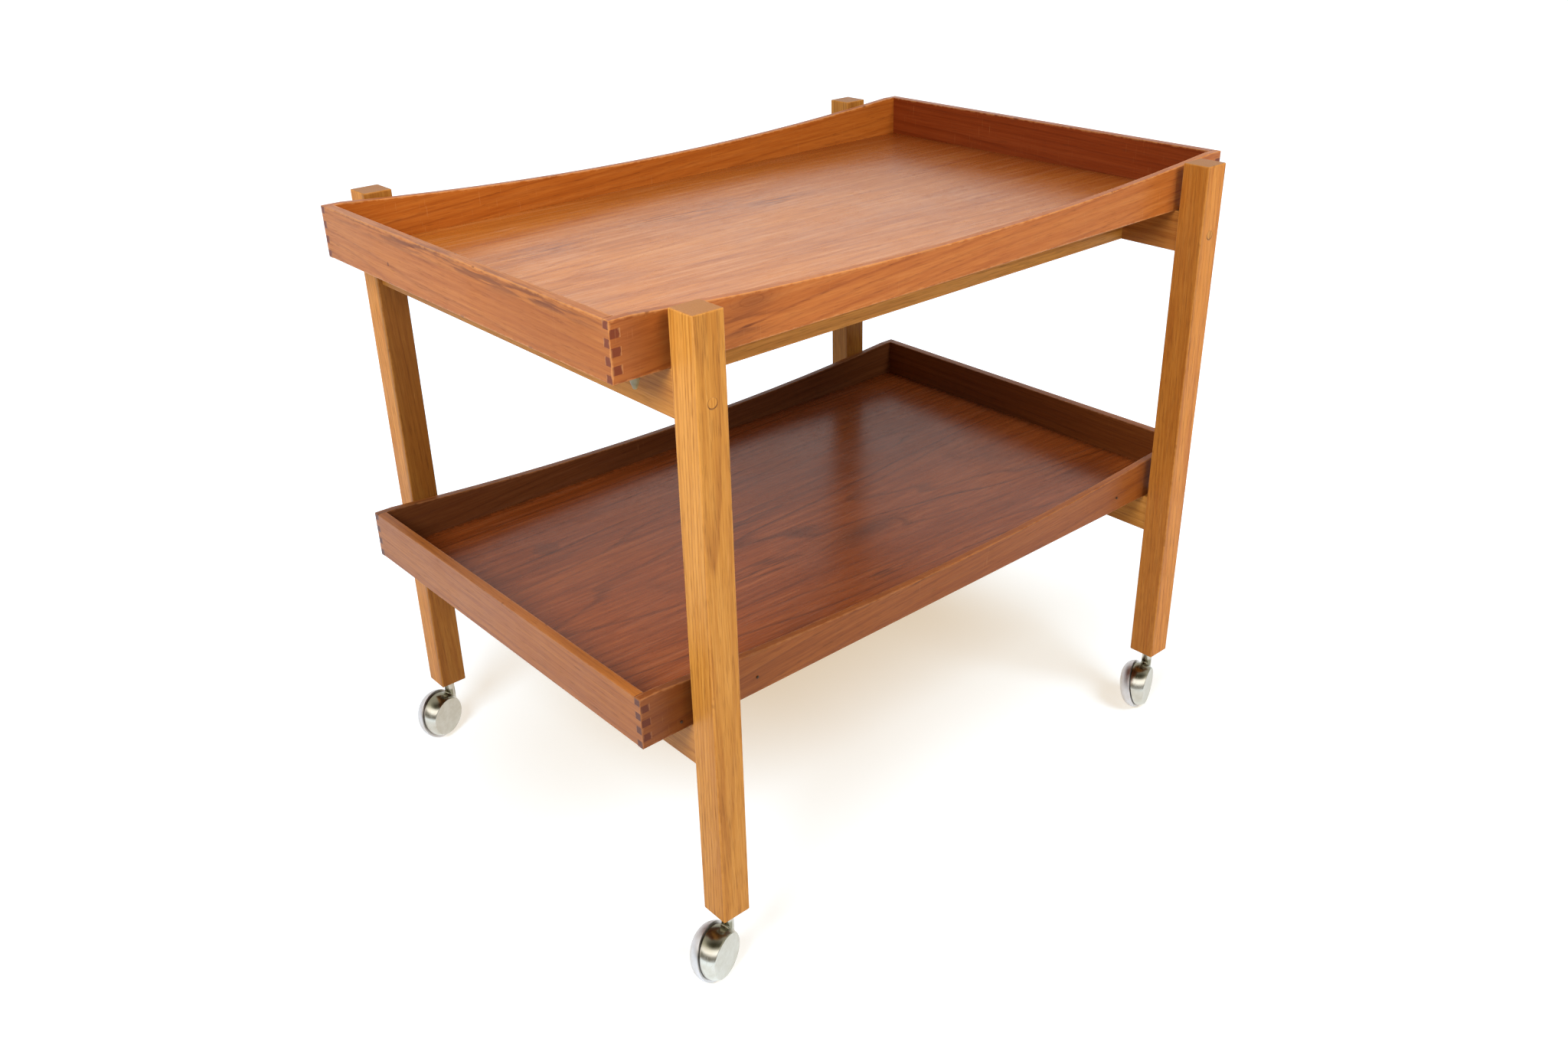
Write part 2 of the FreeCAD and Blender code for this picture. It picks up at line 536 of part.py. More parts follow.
def hood(label, side_x, side_y):
    """Half a ball, cut on the slant towards the wheel and flat on its outside, with a neck for the stem."""
    body = new_body(label)
    ball = body.newObject("PartDesign::AdditiveSphere", f"{label}_ball")
    ball.setExpression("Radius", "sizes.hood_radius")
    doc.recompute()
    blank = "2 * sizes.hood_radius"
    face = sketch_on(body, "XZ_Plane", "flat", lift="-sizes.hood_flat")
    pocket(body, rectangle(face, f"-{blank}", blank, f"-{blank}", blank))
    round_edges(body, "sizes.hood_flat_edge", lambda edge: at(edge, 1, "sizes.hood_flat") and not edge.Degenerated)
    stem_spot = ("-sizes.caster_trail", "sizes.caster_offset")
    pad(body, circles(sketch_on(body, "XY_Plane", "neck"), "sizes.neck_radius", stem_spot), NECK_TOP)
    round_edges(body, "sizes.neck_flare",
                lambda edge: edge.isClosed() and min(edge.BoundBox.YLength, edge.BoundBox.ZLength) > SAME)
    split = sketch_on(body, "XZ_Plane", "split", roll="sizes.caster_tilt")
    pocket(body, rectangle(split, f"-{blank}", blank, f"-{blank}", blank), reverse=True)
    recess = sketch_on(body, "XZ_Plane", "recess", roll="sizes.caster_tilt")
    pocket(body, circles(recess, "sizes.hood_radius - sizes.hood_wall", ("0", "0")), "sizes.hood_recess")
    seat = sketch_on(body, "XZ_Plane", "axle", roll="sizes.caster_tilt")
    pocket(body, circles(seat, "sizes.axle_radius + sizes.fit_gap", ("0", "0")),
           "sizes.hood_recess + sizes.axle_grip + sizes.end_gap")
    bore = sketch_on(body, "XY_Plane", "stem", lift=NECK_TOP)
    pocket(body, circles(bore, "sizes.stem_radius + sizes.fit_gap", stem_spot), "sizes.stem_grip + sizes.end_gap")
    on_ball(body, side_x, side_y)


def axle(label, side_x, side_y):
    """The inclined pin, held in the hood, with a head outside the wheel."""
    body = new_body(label)
    under_head = "-(sizes.wheel_thick + sizes.thrust_gap)"
    top = "sizes.hood_recess + sizes.axle_grip"
    revolve(body, outline(sketch_on(body, "XZ_Plane", "half"), (
        ("0", f"{under_head} - sizes.axle_head"),
        ("sizes.axle_head_radius", f"{under_head} - sizes.axle_head"),
        ("sizes.axle_head_radius", under_head),
        ("sizes.axle_radius", under_head),
        ("sizes.axle_radius", top),
        ("0", top),
    )))
    on_ball(body, side_x, side_y, roll="sizes.caster_tilt - 90")


def wheel(label, side_x, side_y):
    """A dished wheel: hub, disc and rim in one casting, rounded outside in one arc."""
    body = new_body(label)
    bore = "(sizes.axle_radius + sizes.running_gap)"
    rim = "(sizes.wheel_radius - sizes.wheel_wall)"
    disc = "-(sizes.wheel_thick - sizes.wheel_web)"
    lip = f"{WHEEL_FACE} + sqrt(sizes.wheel_round ^ 2 - ({SHOULDER_AT} - sizes.wheel_gap) ^ 2)"
    revolve(body, outline(sketch_on(body, "XZ_Plane", "half"), (
        (bore, "sizes.hub_reach"),
        (bore, "-sizes.wheel_thick"),
        (WHEEL_FACE, "-sizes.wheel_thick", "sizes.wheel_round"),
        (lip, "-sizes.wheel_gap"),
        (rim, "-sizes.wheel_gap"),
        (rim, disc),
        ("sizes.hub_radius", disc),
        ("sizes.hub_radius", "sizes.hub_reach"),
    )))
    on_ball(body, side_x, side_y, roll="sizes.caster_tilt - 90")


CORNERS = (
    ("front_left", -1, -1),
    ("front_right", 1, -1),
    ("back_left", -1, 1),
    ("back_right", 1, 1),
)

for corner, side_x, side_y in CORNERS:
    leg(f"{corner}_leg", side_x, side_y)
for label, side_x in (("left", -1), ("right", 1)):
    upper_cross_rail(f"upper_{label}_cross_rail", side_x)
    cross_rail(f"lower_{label}_cross_rail", side_x, LOWER_SEAT)
for label, side_y in (("front", -1), ("back", 1)):
    long_rail(f"{label}_long_rail", side_y)
frame_joints()
tray_feet(tray("upper", UPPER_SEAT))
tray("lower", LOWER_SEAT)
for corner, side_x, side_y in CORNERS:
    socket_sleeve(f"{corner}_caster_socket", side_x, side_y)
    stem(f"{corner}_caster_stem", side_x, side_y)
    hood(f"{corner}_caster_hood", side_x, side_y)
    axle(f"{corner}_caster_axle", side_x, side_y)
    wheel(f"{corner}_caster_wheel", side_x, side_y)
doc.recompute()

for item in doc.Objects:
    if "Invalid" in item.State or "Error" in item.State:
        raise RuntimeError(f"{item.Name} failed: {item.State}")
for body in pieces:
    if body.Shape.isNull() or not body.Shape.isValid():
        raise RuntimeError(f"{body.Label} has no valid shape")

os.makedirs("parts", exist_ok=True)
for body in pieces:
    body.Shape.exportStep(f"parts/{body.Label}.step")
print(f"{len(pieces)} pieces written")
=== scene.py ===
# %% [markdown]
# # A serving trolley
# The trolley is two teak trays on an oak frame that rolls on chromed ball casters. Its solids come from the
# CAD model and keep their place and size. This script gives them their looks: wood, metal, wear and studio
# light. Lengths are in metres, +X runs along the trays, +Y to the back and +Z up.

# %% Load the solids
import json
import math
from dataclasses import dataclass, replace

import bpy
from mathutils import Euler, Matrix, Vector


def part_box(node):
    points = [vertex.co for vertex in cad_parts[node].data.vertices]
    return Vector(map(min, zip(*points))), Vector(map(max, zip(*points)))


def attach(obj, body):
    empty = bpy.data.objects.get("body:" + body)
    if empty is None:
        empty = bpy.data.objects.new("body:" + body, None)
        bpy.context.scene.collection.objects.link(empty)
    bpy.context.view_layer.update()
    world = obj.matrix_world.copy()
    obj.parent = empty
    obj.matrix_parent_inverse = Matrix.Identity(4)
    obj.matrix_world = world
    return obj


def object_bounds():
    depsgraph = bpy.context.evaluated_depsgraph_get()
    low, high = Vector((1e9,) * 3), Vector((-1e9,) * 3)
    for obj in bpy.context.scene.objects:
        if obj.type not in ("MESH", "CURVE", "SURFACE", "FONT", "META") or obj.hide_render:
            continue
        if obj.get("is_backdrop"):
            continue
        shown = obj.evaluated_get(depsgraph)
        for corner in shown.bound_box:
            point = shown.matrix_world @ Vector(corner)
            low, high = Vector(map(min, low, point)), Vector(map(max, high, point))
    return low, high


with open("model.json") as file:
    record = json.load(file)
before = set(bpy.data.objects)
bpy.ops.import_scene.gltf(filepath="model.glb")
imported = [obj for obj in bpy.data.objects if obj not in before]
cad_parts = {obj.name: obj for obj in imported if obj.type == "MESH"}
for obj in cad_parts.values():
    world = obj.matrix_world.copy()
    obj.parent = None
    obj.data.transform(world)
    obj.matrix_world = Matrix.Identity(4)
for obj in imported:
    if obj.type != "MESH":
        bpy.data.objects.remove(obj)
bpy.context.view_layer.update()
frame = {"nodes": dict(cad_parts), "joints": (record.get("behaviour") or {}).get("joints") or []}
nodes = frame["nodes"]
CORNERS = ("front_left", "front_right", "back_left", "back_right")

# %% [markdown]
# ## The camera
# The camera stands in front of the left end, a little above the trolley, and leans slightly to one side, as
# a camera held in the hand does. A camera aimed at a point would stand level, so three turns set it instead:
# the roll about its own line of sight comes first, then the tilt downwards, and the turn about the vertical
# last.

# %% Camera
CAMERA_PLACE = Vector((-0.9116, -1.0367, 0.9667))
CAMERA_TURN = math.radians(-40.66)
CAMERA_TILT = math.radians(27.13)
CAMERA_ROLL = math.radians(1.35)
CAMERA_LENS_MM = 31.43
SENSOR_WIDTH_MM = 36.0

camera_data = bpy.data.cameras.new("photo_camera")
camera_data.lens = CAMERA_LENS_MM
camera_data.sensor_width = SENSOR_WIDTH_MM
camera = bpy.data.objects.new("photo_camera", camera_data)
bpy.context.collection.objects.link(camera)
facing = (Matrix.Rotation(CAMERA_TURN, 4, "Z") @ Matrix.Rotation(math.pi / 2 - CAMERA_TILT, 4, "X")
          @ Matrix.Rotation(-CAMERA_ROLL, 4, "Z"))
camera.matrix_world = Matrix.Translation(CAMERA_PLACE) @ facing
bpy.context.scene.camera = camera
print(f"camera at {tuple(CAMERA_PLACE)}")

# %% [markdown]
# ## Building shader nodes in code
# A material is a sheet of nodes joined by wires. These helpers place one node each and return what it puts
# out, so that a recipe reads as a list of steps. A value that is a socket is wired in, and any other value
# is set.


# %% Node helpers
def put(tree, kind, values=None, **settings):
    node = tree.nodes.new(kind)
    for name, value in settings.items():
        setattr(node, name, value)
    for name, value in (values or {}).items():
        if isinstance(value, bpy.types.NodeSocket):
            tree.links.new(value, node.inputs[name])
        else:
            node.inputs[name].default_value = value
    return node


def calc(tree, operation, *values):
    return put(tree, "ShaderNodeMath", dict(enumerate(values)), operation=operation).outputs[0]


def calc_vector(tree, operation, *values):
    node = put(tree, "ShaderNodeVectorMath", dict(enumerate(values)), operation=operation)
    return node.outputs["Value" if operation in {"DOT_PRODUCT", "LENGTH"} else "Vector"]


def remap(tree, value, low, high, to_low=0.0, to_high=1.0):
    settings = {0: value, 1: low, 2: high, 3: to_low, 4: to_high}
    return put(tree, "ShaderNodeMapRange", settings, interpolation_type="SMOOTHSTEP").outputs[0]


def blend(tree, share, first, second):
    return put(tree, "ShaderNodeMix", {0: share, 6: first, 7: second}, data_type="RGBA").outputs[2]


def parts(tree, vector):
    return put(tree, "ShaderNodeSeparateXYZ", {"Vector": vector}).outputs


def noise(tree, vector, stretch=(1, 1, 1), detail=2.0, roughness=0.5):
    """Smooth random values about 0.5; stretch says how many changes a metre has along each axis."""
    scaled = calc_vector(tree, "MULTIPLY", vector, stretch)
    values = {"Vector": scaled, "Scale": 1.0, "Detail": detail, "Roughness": roughness}
    return put(tree, "ShaderNodeTexNoise", values).outputs["Fac"]


# %% Groups and materials
def new_group(name, inputs, outputs):
    """A node group: inputs maps a socket's name to (kind, default), outputs lists names of plain values."""
    tree = bpy.data.node_groups.new(name, "ShaderNodeTree")
    for label, (kind, default) in inputs.items():
        socket = tree.interface.new_socket(label, in_out="INPUT", socket_type=f"NodeSocket{kind}")
        socket.default_value = default
    for label in outputs:
        tree.interface.new_socket(label, in_out="OUTPUT", socket_type="NodeSocketFloat")
    return tree, tree.nodes.new("NodeGroupInput").outputs, tree.nodes.new("NodeGroupOutput").inputs


def use(tree, group, **values):
    """Places a group in a material and returns its outputs."""
    return put(tree, "ShaderNodeGroup", values, node_tree=group).outputs


def new_material(name):
    material = bpy.data.materials.new(name)
    material.use_nodes = True
    material.node_tree.nodes.clear()
    return material, material.node_tree


def surface(tree, **values):
    """Ends a material's sheet with one shader; an input's name has underscores here for its spaces."""
    inputs = {name.replace("_", " "): value for name, value in values.items()}
    shader = put(tree, "ShaderNodeBsdfPrincipled", inputs)
    put(tree, "ShaderNodeOutputMaterial", {"Surface": shader.outputs[0]})


def dress(node, material):
    """Gives a CAD node its finish."""
    nodes[node].data.materials.clear()
    nodes[node].data.materials.append(material)


def tint(red, green, blue):
    """A colour given as 0 to 255 on screen, as the linear colour that a shader takes."""
    channels = [value / 255 for value in (red, green, blue)]
    return (*(c / 12.92 if c <= 0.04045 else ((c + 0.055) / 1.055) ** 2.4 for c in channels), 1.0)


# %% [markdown]
# ## How wood is built up
# A board is a slice of a log. The growth rings are nested tubes about the log's pith, so a board shows them
# as arches on a flat-sawn face, as straight lines on its edge and as arcs on its end. A picture of wood
# would have to be fitted to each face. One solid pattern of wavering tubes gives all three, and no face has
# to be drawn by itself. Rings, pores, edges (which carry wear and painted light), spots and scratches are
# node groups, because every board uses them with values of its own. X is the grain's direction in them.

# %% Growth rings
YEAR_END = 0.9
PALEST_YEAR = 0.2
SHIVER_SHARE = 0.06


def growth_rings():
    """Dark late-wood lines on tubes about the pith; Late is the share of a year's wood that darkens.

    Push moves the tubes aside, as they go round a knot.
    """
    tree, given, result = new_group(
        "growth rings",
        {"Vector": ("Vector", (0, 0, 0)), "Spacing": ("Float", 0.004), "Late": ("Float", 0.5),
         "Waver": ("Float", 0.01), "Push": ("Float", 0.0)},
        ("Ring",))
    slow = noise(tree, given["Vector"], (1.6, 10, 10))
    quick = noise(tree, given["Vector"], (14, 60, 60))
    across = calc_vector(tree, "LENGTH", calc_vector(tree, "MULTIPLY", given["Vector"], (0, 1, 1)))
    sway = calc(tree, "MULTIPLY", calc(tree, "SUBTRACT", slow, 0.5), given["Waver"])
    small_waver = calc(tree, "MULTIPLY", given["Waver"], SHIVER_SHARE)
    shiver = calc(tree, "MULTIPLY", calc(tree, "SUBTRACT", quick, 0.5), small_waver)
    moved = calc(tree, "ADD", calc(tree, "ADD", sway, shiver), given["Push"])
    count = calc(tree, "DIVIDE", calc(tree, "ADD", across, moved), given["Spacing"])
    phase = calc(tree, "FRACT", count)
    late = remap(tree, phase, calc(tree, "SUBTRACT", YEAR_END, given["Late"]), YEAR_END)
    fall = remap(tree, phase, YEAR_END, 1.0, 1.0, 0.0)
    year = put(tree, "ShaderNodeTexWhiteNoise", {"W": calc(tree, "FLOOR", count)}, noise_dimensions="1D")
    strength = remap(tree, year.outputs["Value"], 0.0, 1.0, PALEST_YEAR, 1.0)
    tree.links.new(calc(tree, "MULTIPLY", calc(tree, "MULTIPLY", late, fall), strength), result["Ring"])
    return tree


RINGS = growth_rings()
print("growth rings:", len(RINGS.nodes), "nodes")

# %% Pores
PORE_LIMIT = 0.78
PORE_SOFTNESS = 0.14


def pore_streaks():
    """Short dark dashes along the grain, where the saw has opened the wood's pores."""
    tree, given, result = new_group(
        "pore streaks",
        {"Vector": ("Vector", (0, 0, 0)), "Length": ("Float", 0.02), "Width": ("Float", 0.0007),
         "Share": ("Float", 0.4)},
        ("Mask",))
    place = parts(tree, given["Vector"])
    stretched = put(tree, "ShaderNodeCombineXYZ", {
        "X": calc(tree, "DIVIDE", place["X"], given["Length"]),
        "Y": calc(tree, "DIVIDE", place["Y"], given["Width"]),
        "Z": calc(tree, "DIVIDE", place["Z"], given["Width"])}).outputs[0]
    grain = noise(tree, stretched, detail=1.0, roughness=0.6)
    edge = calc(tree, "SUBTRACT", PORE_LIMIT, calc(tree, "MULTIPLY", given["Share"], 0.5))
    tree.links.new(remap(tree, grain, edge, calc(tree, "ADD", edge, PORE_SOFTNESS)), result["Mask"])
    return tree


PORES = pore_streaks()
print("pore streaks:", len(PORES.nodes), "nodes")

# %% Worn edges, painted highlight and painted shade
NICK_REACH = 0.003


def worn_and_painted_edges():
    """How close a point on a board is to one of its edges: 1 on the edge and 0 a wear's width away. The mask
    carries wear, and painted highlight and painted shade.

    A long side's rim is dished: it is Dip lower at the middle and level again from Run outwards.
    """
    tree, given, result = new_group(
        "worn and painted edges",
        {"Vector": ("Vector", (0, 0, 0)), "Centre": ("Vector", (0, 0, 0)), "Half": ("Vector", (1, 1, 1)),
         "Width": ("Float", 0.002), "Dip": ("Float", 0.0), "Run": ("Float", 1.0)},
        ("Mask", "Nick"))
    place = parts(tree, calc_vector(tree, "SUBTRACT", given["Vector"], given["Centre"]))
    half = parts(tree, given["Half"])
    reach = calc(tree, "DIVIDE", place["X"], given["Run"])
    bowl = calc(tree, "MAXIMUM", calc(tree, "SUBTRACT", 1.0, calc(tree, "MULTIPLY", reach, reach)), 0.0)
    rim = calc(tree, "SUBTRACT", half["Z"], calc(tree, "MULTIPLY", bowl, given["Dip"]))
    room_x = calc(tree, "SUBTRACT", half["X"], calc(tree, "ABSOLUTE", place["X"]))
    room_y = calc(tree, "SUBTRACT", half["Y"], calc(tree, "ABSOLUTE", place["Y"]))
    room_above = calc(tree, "SUBTRACT", rim, place["Z"])
    room_below = calc(tree, "ADD", half["Z"], place["Z"])
    room_z = calc(tree, "MINIMUM", room_above, room_below)
    nearer = calc(tree, "MINIMUM", room_x, room_y)
    further = calc(tree, "MAXIMUM", room_x, room_y)
    middle = calc(tree, "MAXIMUM", nearer, calc(tree, "MINIMUM", further, room_z))
    patchy = noise(tree, given["Vector"], (160, 160, 160), detail=3.0)
    width = calc(tree, "MULTIPLY", given["Width"], remap(tree, patchy, 0.3, 0.7, 0.4, 1.5))
    dent = remap(tree, noise(tree, given["Vector"], (75, 75, 75), detail=1.0), 0.7, 0.74)
    by_edge = remap(tree, middle, 0.0, NICK_REACH, 1.0, 0.0)
    tree.links.new(remap(tree, middle, 0.0, width, 1.0, 0.0), result["Mask"])
    tree.links.new(calc(tree, "MULTIPLY", dent, by_edge), result["Nick"])
    return tree


EDGES = worn_and_painted_edges()
print("worn and painted edges:", len(EDGES.nodes), "nodes")


# %% Spots and scratches
def spots():
    """One place on a board. Near fades softly, Disc has a clear edge, Smear is drawn out along the grain.

    Outside is what lies past the reach, as the dark gap does round a plug.
    """
    tree, given, result = new_group(
        "spots",
        {"Vector": ("Vector", (0, 0, 0)), "Grain": ("Vector", (0, 0, 0)), "Centre": ("Vector", (0, 0, 0)),
         "Reach": ("Vector", (1, 1, 1))},
        ("Near", "Disc", "Smear", "Outside"))
    offset = calc_vector(tree, "SUBTRACT", given["Vector"], given["Centre"])
    distance = calc_vector(tree, "LENGTH", calc_vector(tree, "DIVIDE", offset, given["Reach"]))
    ragged = calc(tree, "MULTIPLY", noise(tree, given["Vector"], (90, 90, 90)), 0.3)
    uneven = calc(tree, "ADD", distance, ragged)
    near = calc(tree, "EXPONENT", calc(tree, "MULTIPLY", calc(tree, "MULTIPLY", distance, distance), -1.0))
    broken = noise(tree, given["Grain"], (22, 300, 300), detail=3.0)
    tree.links.new(near, result["Near"])
    tree.links.new(remap(tree, uneven, 0.95, 1.2, 1.0, 0.0), result["Disc"])
    tree.links.new(calc(tree, "MULTIPLY", near, remap(tree, broken, 0.44, 0.6)), result["Smear"])
    tree.links.new(remap(tree, distance, 0.78, 0.94), result["Outside"])
    return tree


def scratches():
    """Hair-thin lines in two directions, with bare stretches between them."""
    tree, given, result = new_group("scratches", {"Vector": ("Vector", (0, 0, 0))}, ("Mask",))
    lines = []
    for turn in (0.5, -0.35):
        values = {"Vector": given["Vector"], "Rotation": (0, 0, turn)}
        turned = put(tree, "ShaderNodeMapping", values).outputs[0]
        lines.append(remap(tree, noise(tree, turned, (18, 1500, 40), detail=1.0), 0.7, 0.78))
    patchy = remap(tree, noise(tree, given["Vector"], (16, 16, 16)), 0.45, 0.62)
    both = calc(tree, "MAXIMUM", *lines)
    tree.links.new(calc(tree, "MULTIPLY", both, patchy), result["Mask"])
    return tree


SPOTS = spots()
SCRATCHES = scratches()
print("spots:", len(SPOTS.nodes), "nodes, scratches:", len(SCRATCHES.nodes), "nodes")

# %% [markdown]
# ## Studio
# The floor is a wide pale plane. To the camera, and in what shines, it glows a little so that it meets the
# white backdrop, while the trolley's shadow still shows on it. About a point under the trolley the glow is
# warm and dimmer: a painted warm shadow, standing in for light that comes back from the wood. The paint over
# it is cool, so together they are white in full light and warm in shade. The world lights everything evenly.
# A round lamp over the camera's right shoulder and a nearer one from the left give the faces their different
# tones. Polished metal shows what is behind the camera, so what shines sees a room there: a dark ceiling, a
# broad bright band under it and a soft grey one above the floor.

# %% Floor
WHITE = (1, 1, 1, 1)
FLOOR_SIZE = 30.0
FLOOR_PAINT = (0.80, 0.79, 0.78, 1)
COOL_PAINT = (0.48, 0.66, 0.84, 1)
# The glow's colour about a point under the trolley, dimmer than white: a painted warm shadow.
PAINTED_WARM_SHADOW = (0.60, 0.45, 0.27, 1)
SHADE_MIDDLE = (0.02, -0.12, 0.0)
SHADE_FROM, SHADE_TO = 0.3, 0.9
scene = bpy.context.scene
scene.view_settings.view_transform = "Standard"


def light_path(tree):
    """Two masks: rays straight from the camera, and rays that a shiny or clear surface passes on."""
    path = put(tree, "ShaderNodeLightPath").outputs
    shining = calc(tree, "MAXIMUM", path["Is Glossy Ray"], path["Is Transmission Ray"])
    return path["Is Camera Ray"], shining


bpy.ops.object.select_all(action="DESELECT")
bpy.ops.mesh.primitive_plane_add(size=FLOOR_SIZE)
floor = bpy.context.object
floor.name = "studio_floor"
floor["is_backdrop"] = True
floor_paint, sheet = new_material("studio floor")
plain = put(sheet, "ShaderNodeBsdfDiffuse", {"Color": FLOOR_PAINT}).outputs[0]
cool = put(sheet, "ShaderNodeBsdfDiffuse", {"Color": COOL_PAINT}).outputs[0]
spot = put(sheet, "ShaderNodeTexCoord").outputs["Object"]
from_shade = calc_vector(sheet, "SUBTRACT", spot, SHADE_MIDDLE)
away = remap(sheet, calc_vector(sheet, "LENGTH", from_shade), SHADE_FROM, SHADE_TO)
# Painted warm shadow: near the trolley the glow takes the warm colour, and further out it is white.
painted_shadow_colour = blend(sheet, away, PAINTED_WARM_SHADOW, WHITE)
glow_with_painted_shadow = put(sheet, "ShaderNodeEmission", {"Color": painted_shadow_colour, "Strength": 1.0}).outputs[0]
lifted = put(sheet, "ShaderNodeAddShader", {0: cool, 1: glow_with_painted_shadow}).outputs[0]
seen_directly = calc(sheet, "MAXIMUM", *light_path(sheet))
paint = put(sheet, "ShaderNodeMixShader", {0: seen_directly, 1: plain, 2: lifted}).outputs[0]
put(sheet, "ShaderNodeOutputMaterial", {"Surface": paint})
floor.data.materials.append(floor_paint)
print("floor of", FLOOR_SIZE, "m")

# %% World
AWAY_FROM_CAMERA = (0.65, 0.76, 0.0)
ROOM_EDGE = 0.35
EVEN_LIGHT = {"Color": (1, 0.99, 0.97, 1), "Strength": 0.34}
# How steeply a ray looks up, from 0 for level to 1 for straight up, and the tone that it meets there.
ROOM_TONES = ((0.0, (0.50, 0.49, 0.45, 1)), (0.20, (0.20, 0.19, 0.16, 1)), (0.38, (0.45, 0.44, 0.40, 1)),
              (0.50, (2.0, 2.0, 1.95, 1)), (0.74, (2.0, 2.0, 1.95, 1)), (0.84, (0.13, 0.12, 0.07, 1)),
              (1.0, (0.06, 0.055, 0.03, 1)))

world = bpy.data.worlds.new("studio world")
scene.world = world
world.use_nodes = True
sky = world.node_tree
sky.nodes.clear()
direction = put(sky, "ShaderNodeTexCoord").outputs["Generated"]
room = put(sky, "ShaderNodeValToRGB", {"Fac": parts(sky, direction)["Z"]})
for height, tone in ROOM_TONES[1:-1]:
    room.color_ramp.elements.new(height).color = tone
room.color_ramp.elements[0].color = ROOM_TONES[0][1]
room.color_ramp.elements[-1].color = ROOM_TONES[-1][1]
ahead = calc_vector(sky, "DOT_PRODUCT", direction, AWAY_FROM_CAMERA)
toward = remap(sky, ahead, -ROOM_EDGE, ROOM_EDGE)
reflected = blend(sky, toward, room.outputs["Color"], WHITE)
even = put(sky, "ShaderNodeBackground", EVEN_LIGHT).outputs[0]
mirrored = put(sky, "ShaderNodeBackground", {"Color": reflected, "Strength": 1.0}).outputs[0]
white = put(sky, "ShaderNodeBackground", {"Color": WHITE, "Strength": 1.0}).outputs[0]
straight, shining = light_path(sky)
unseen = put(sky, "ShaderNodeMixShader", {0: shining, 1: even, 2: mirrored}).outputs[0]
backdrop = put(sky, "ShaderNodeMixShader", {0: straight, 1: unseen, 2: white}).outputs[0]
put(sky, "ShaderNodeOutputWorld", {"Surface": backdrop})
print("world with", len(ROOM_TONES), "room tones")


# %% Lamps
def round_lamp(name, place, aim, size, power):
    data = bpy.data.lights.new(name, "AREA")
    data.shape = "DISK"
    data.size = size
    data.energy = power
    lamp = bpy.data.objects.new(name, data)
    bpy.context.collection.objects.link(lamp)
    lamp.location = place
    lamp.rotation_euler = (Vector(aim) - Vector(place)).to_track_quat("-Z", "Y").to_euler()
    lamp.visible_glossy = False


round_lamp("key_lamp", place=(0.5, -2.5, 2.8), aim=(0, 0, 0.4), size=1.8, power=88.0)
round_lamp("side_lamp", place=(-1.45, -0.6, 1.4), aim=(-0.25, 0, 0.4), size=0.8, power=26.0)
print("two lamps; studio ready")

# %% [markdown]
# ## The wood recipe
# Every board is cut from its own place in the log, so each gets its own material: the same recipe with
# another grain direction, another distance from the pith and its own box for its edges. The recipe goes from
# broad to fine: slow changes of tone, streaks, fibres, growth rings, pores, marks of use and painted shade,
# darker end grain, and last the edges. On the boards the edges are rubbed pale, which also paints highlight
# on rims and corners; round the floors they are a band of painted shade where the walls meet them. The same
# pores that darken the wood also roughen it.

# %% One kind of wood
GRAIN_TURNS = {"X": (0, 0, 0), "Y": (0, 0, -math.pi / 2), "Z": (0, math.pi / 2, 0)}
GRAIN_AXES = {"X": (1, 0, 0), "Y": (0, 1, 0), "Z": (0, 0, 1)}


@dataclass
class Wood:
    """The colours and sizes that tell one kind of wood, and its finish, from another.

    spacing is one year's growth, late the share of it that is dark, and waver how far the rings stray.
    ring_share and line_share say how dark rings and thin lines are, and pore_share how many pores are open.
    pore_size is a pore's length and width. wear says how far the edges turn to the edge colour, over
    wear_width: pale on the boards, for rubbed wood and painted highlight, and dark on the floors, for
    painted shade where the walls meet them.
    """
    dark: tuple
    middle: tuple
    light: tuple
    ring: tuple
    pore: tuple
    end: tuple
    edge: tuple
    scuff: tuple
    spacing: float = 0.0042
    late: float = 0.5
    waver: float = 0.02
    ring_share: float = 0.35
    line_share: float = 0.1
    pore_share: float = 0.42
    pore_size: tuple = (0.016, 0.0009)
    roughness: float = 0.34
    gloss: float = 0.15
    wear: float = 0.5
    wear_width: float = 0.002


def retoned(wood, shares):
    """The wood with the red, green and blue of its body multiplied by shares: another log's tone for some
    pieces, and painted light and painted shade for others.
    """
    body = {name: tuple(channel * share for channel, share in zip(getattr(wood, name), shares)) + (1.0,)
            for name in ("dark", "middle", "light", "ring")}
    return replace(wood, **body)


# %% A board's place in its log and its own colour
DARK_STOP, MIDDLE_STOP, LIGHT_STOP = 0.42, 0.53, 0.64
SLOW_SHARE, STREAK_SHARE, FIBRE_SHARE = 0.3, 0.36, 0.4
PALE_LINE_SHARE = 0.7


def log_place(tree, place, node, grain, heart, lean, slide):
    """Coordinates in the log that a board was cut from: X along the grain, the pith at Y = Z = 0.

    heart is where the pith lies across the grain, seen from the board's middle; lean tips the log, in
    degrees; and slide moves the pattern along the grain.
    """
    low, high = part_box(node)
    leaning = Euler((0, math.radians(lean[0]), math.radians(lean[1]))).to_matrix()
    turn = leaning @ Euler(GRAIN_TURNS[grain]).to_matrix()
    shift = Vector((slide, -heart[0], -heart[1])) - turn @ ((low + high) / 2)
    values = {"Vector": place, "Rotation": turn.to_euler(), "Location": shift}
    return put(tree, "ShaderNodeMapping", values).outputs[0]


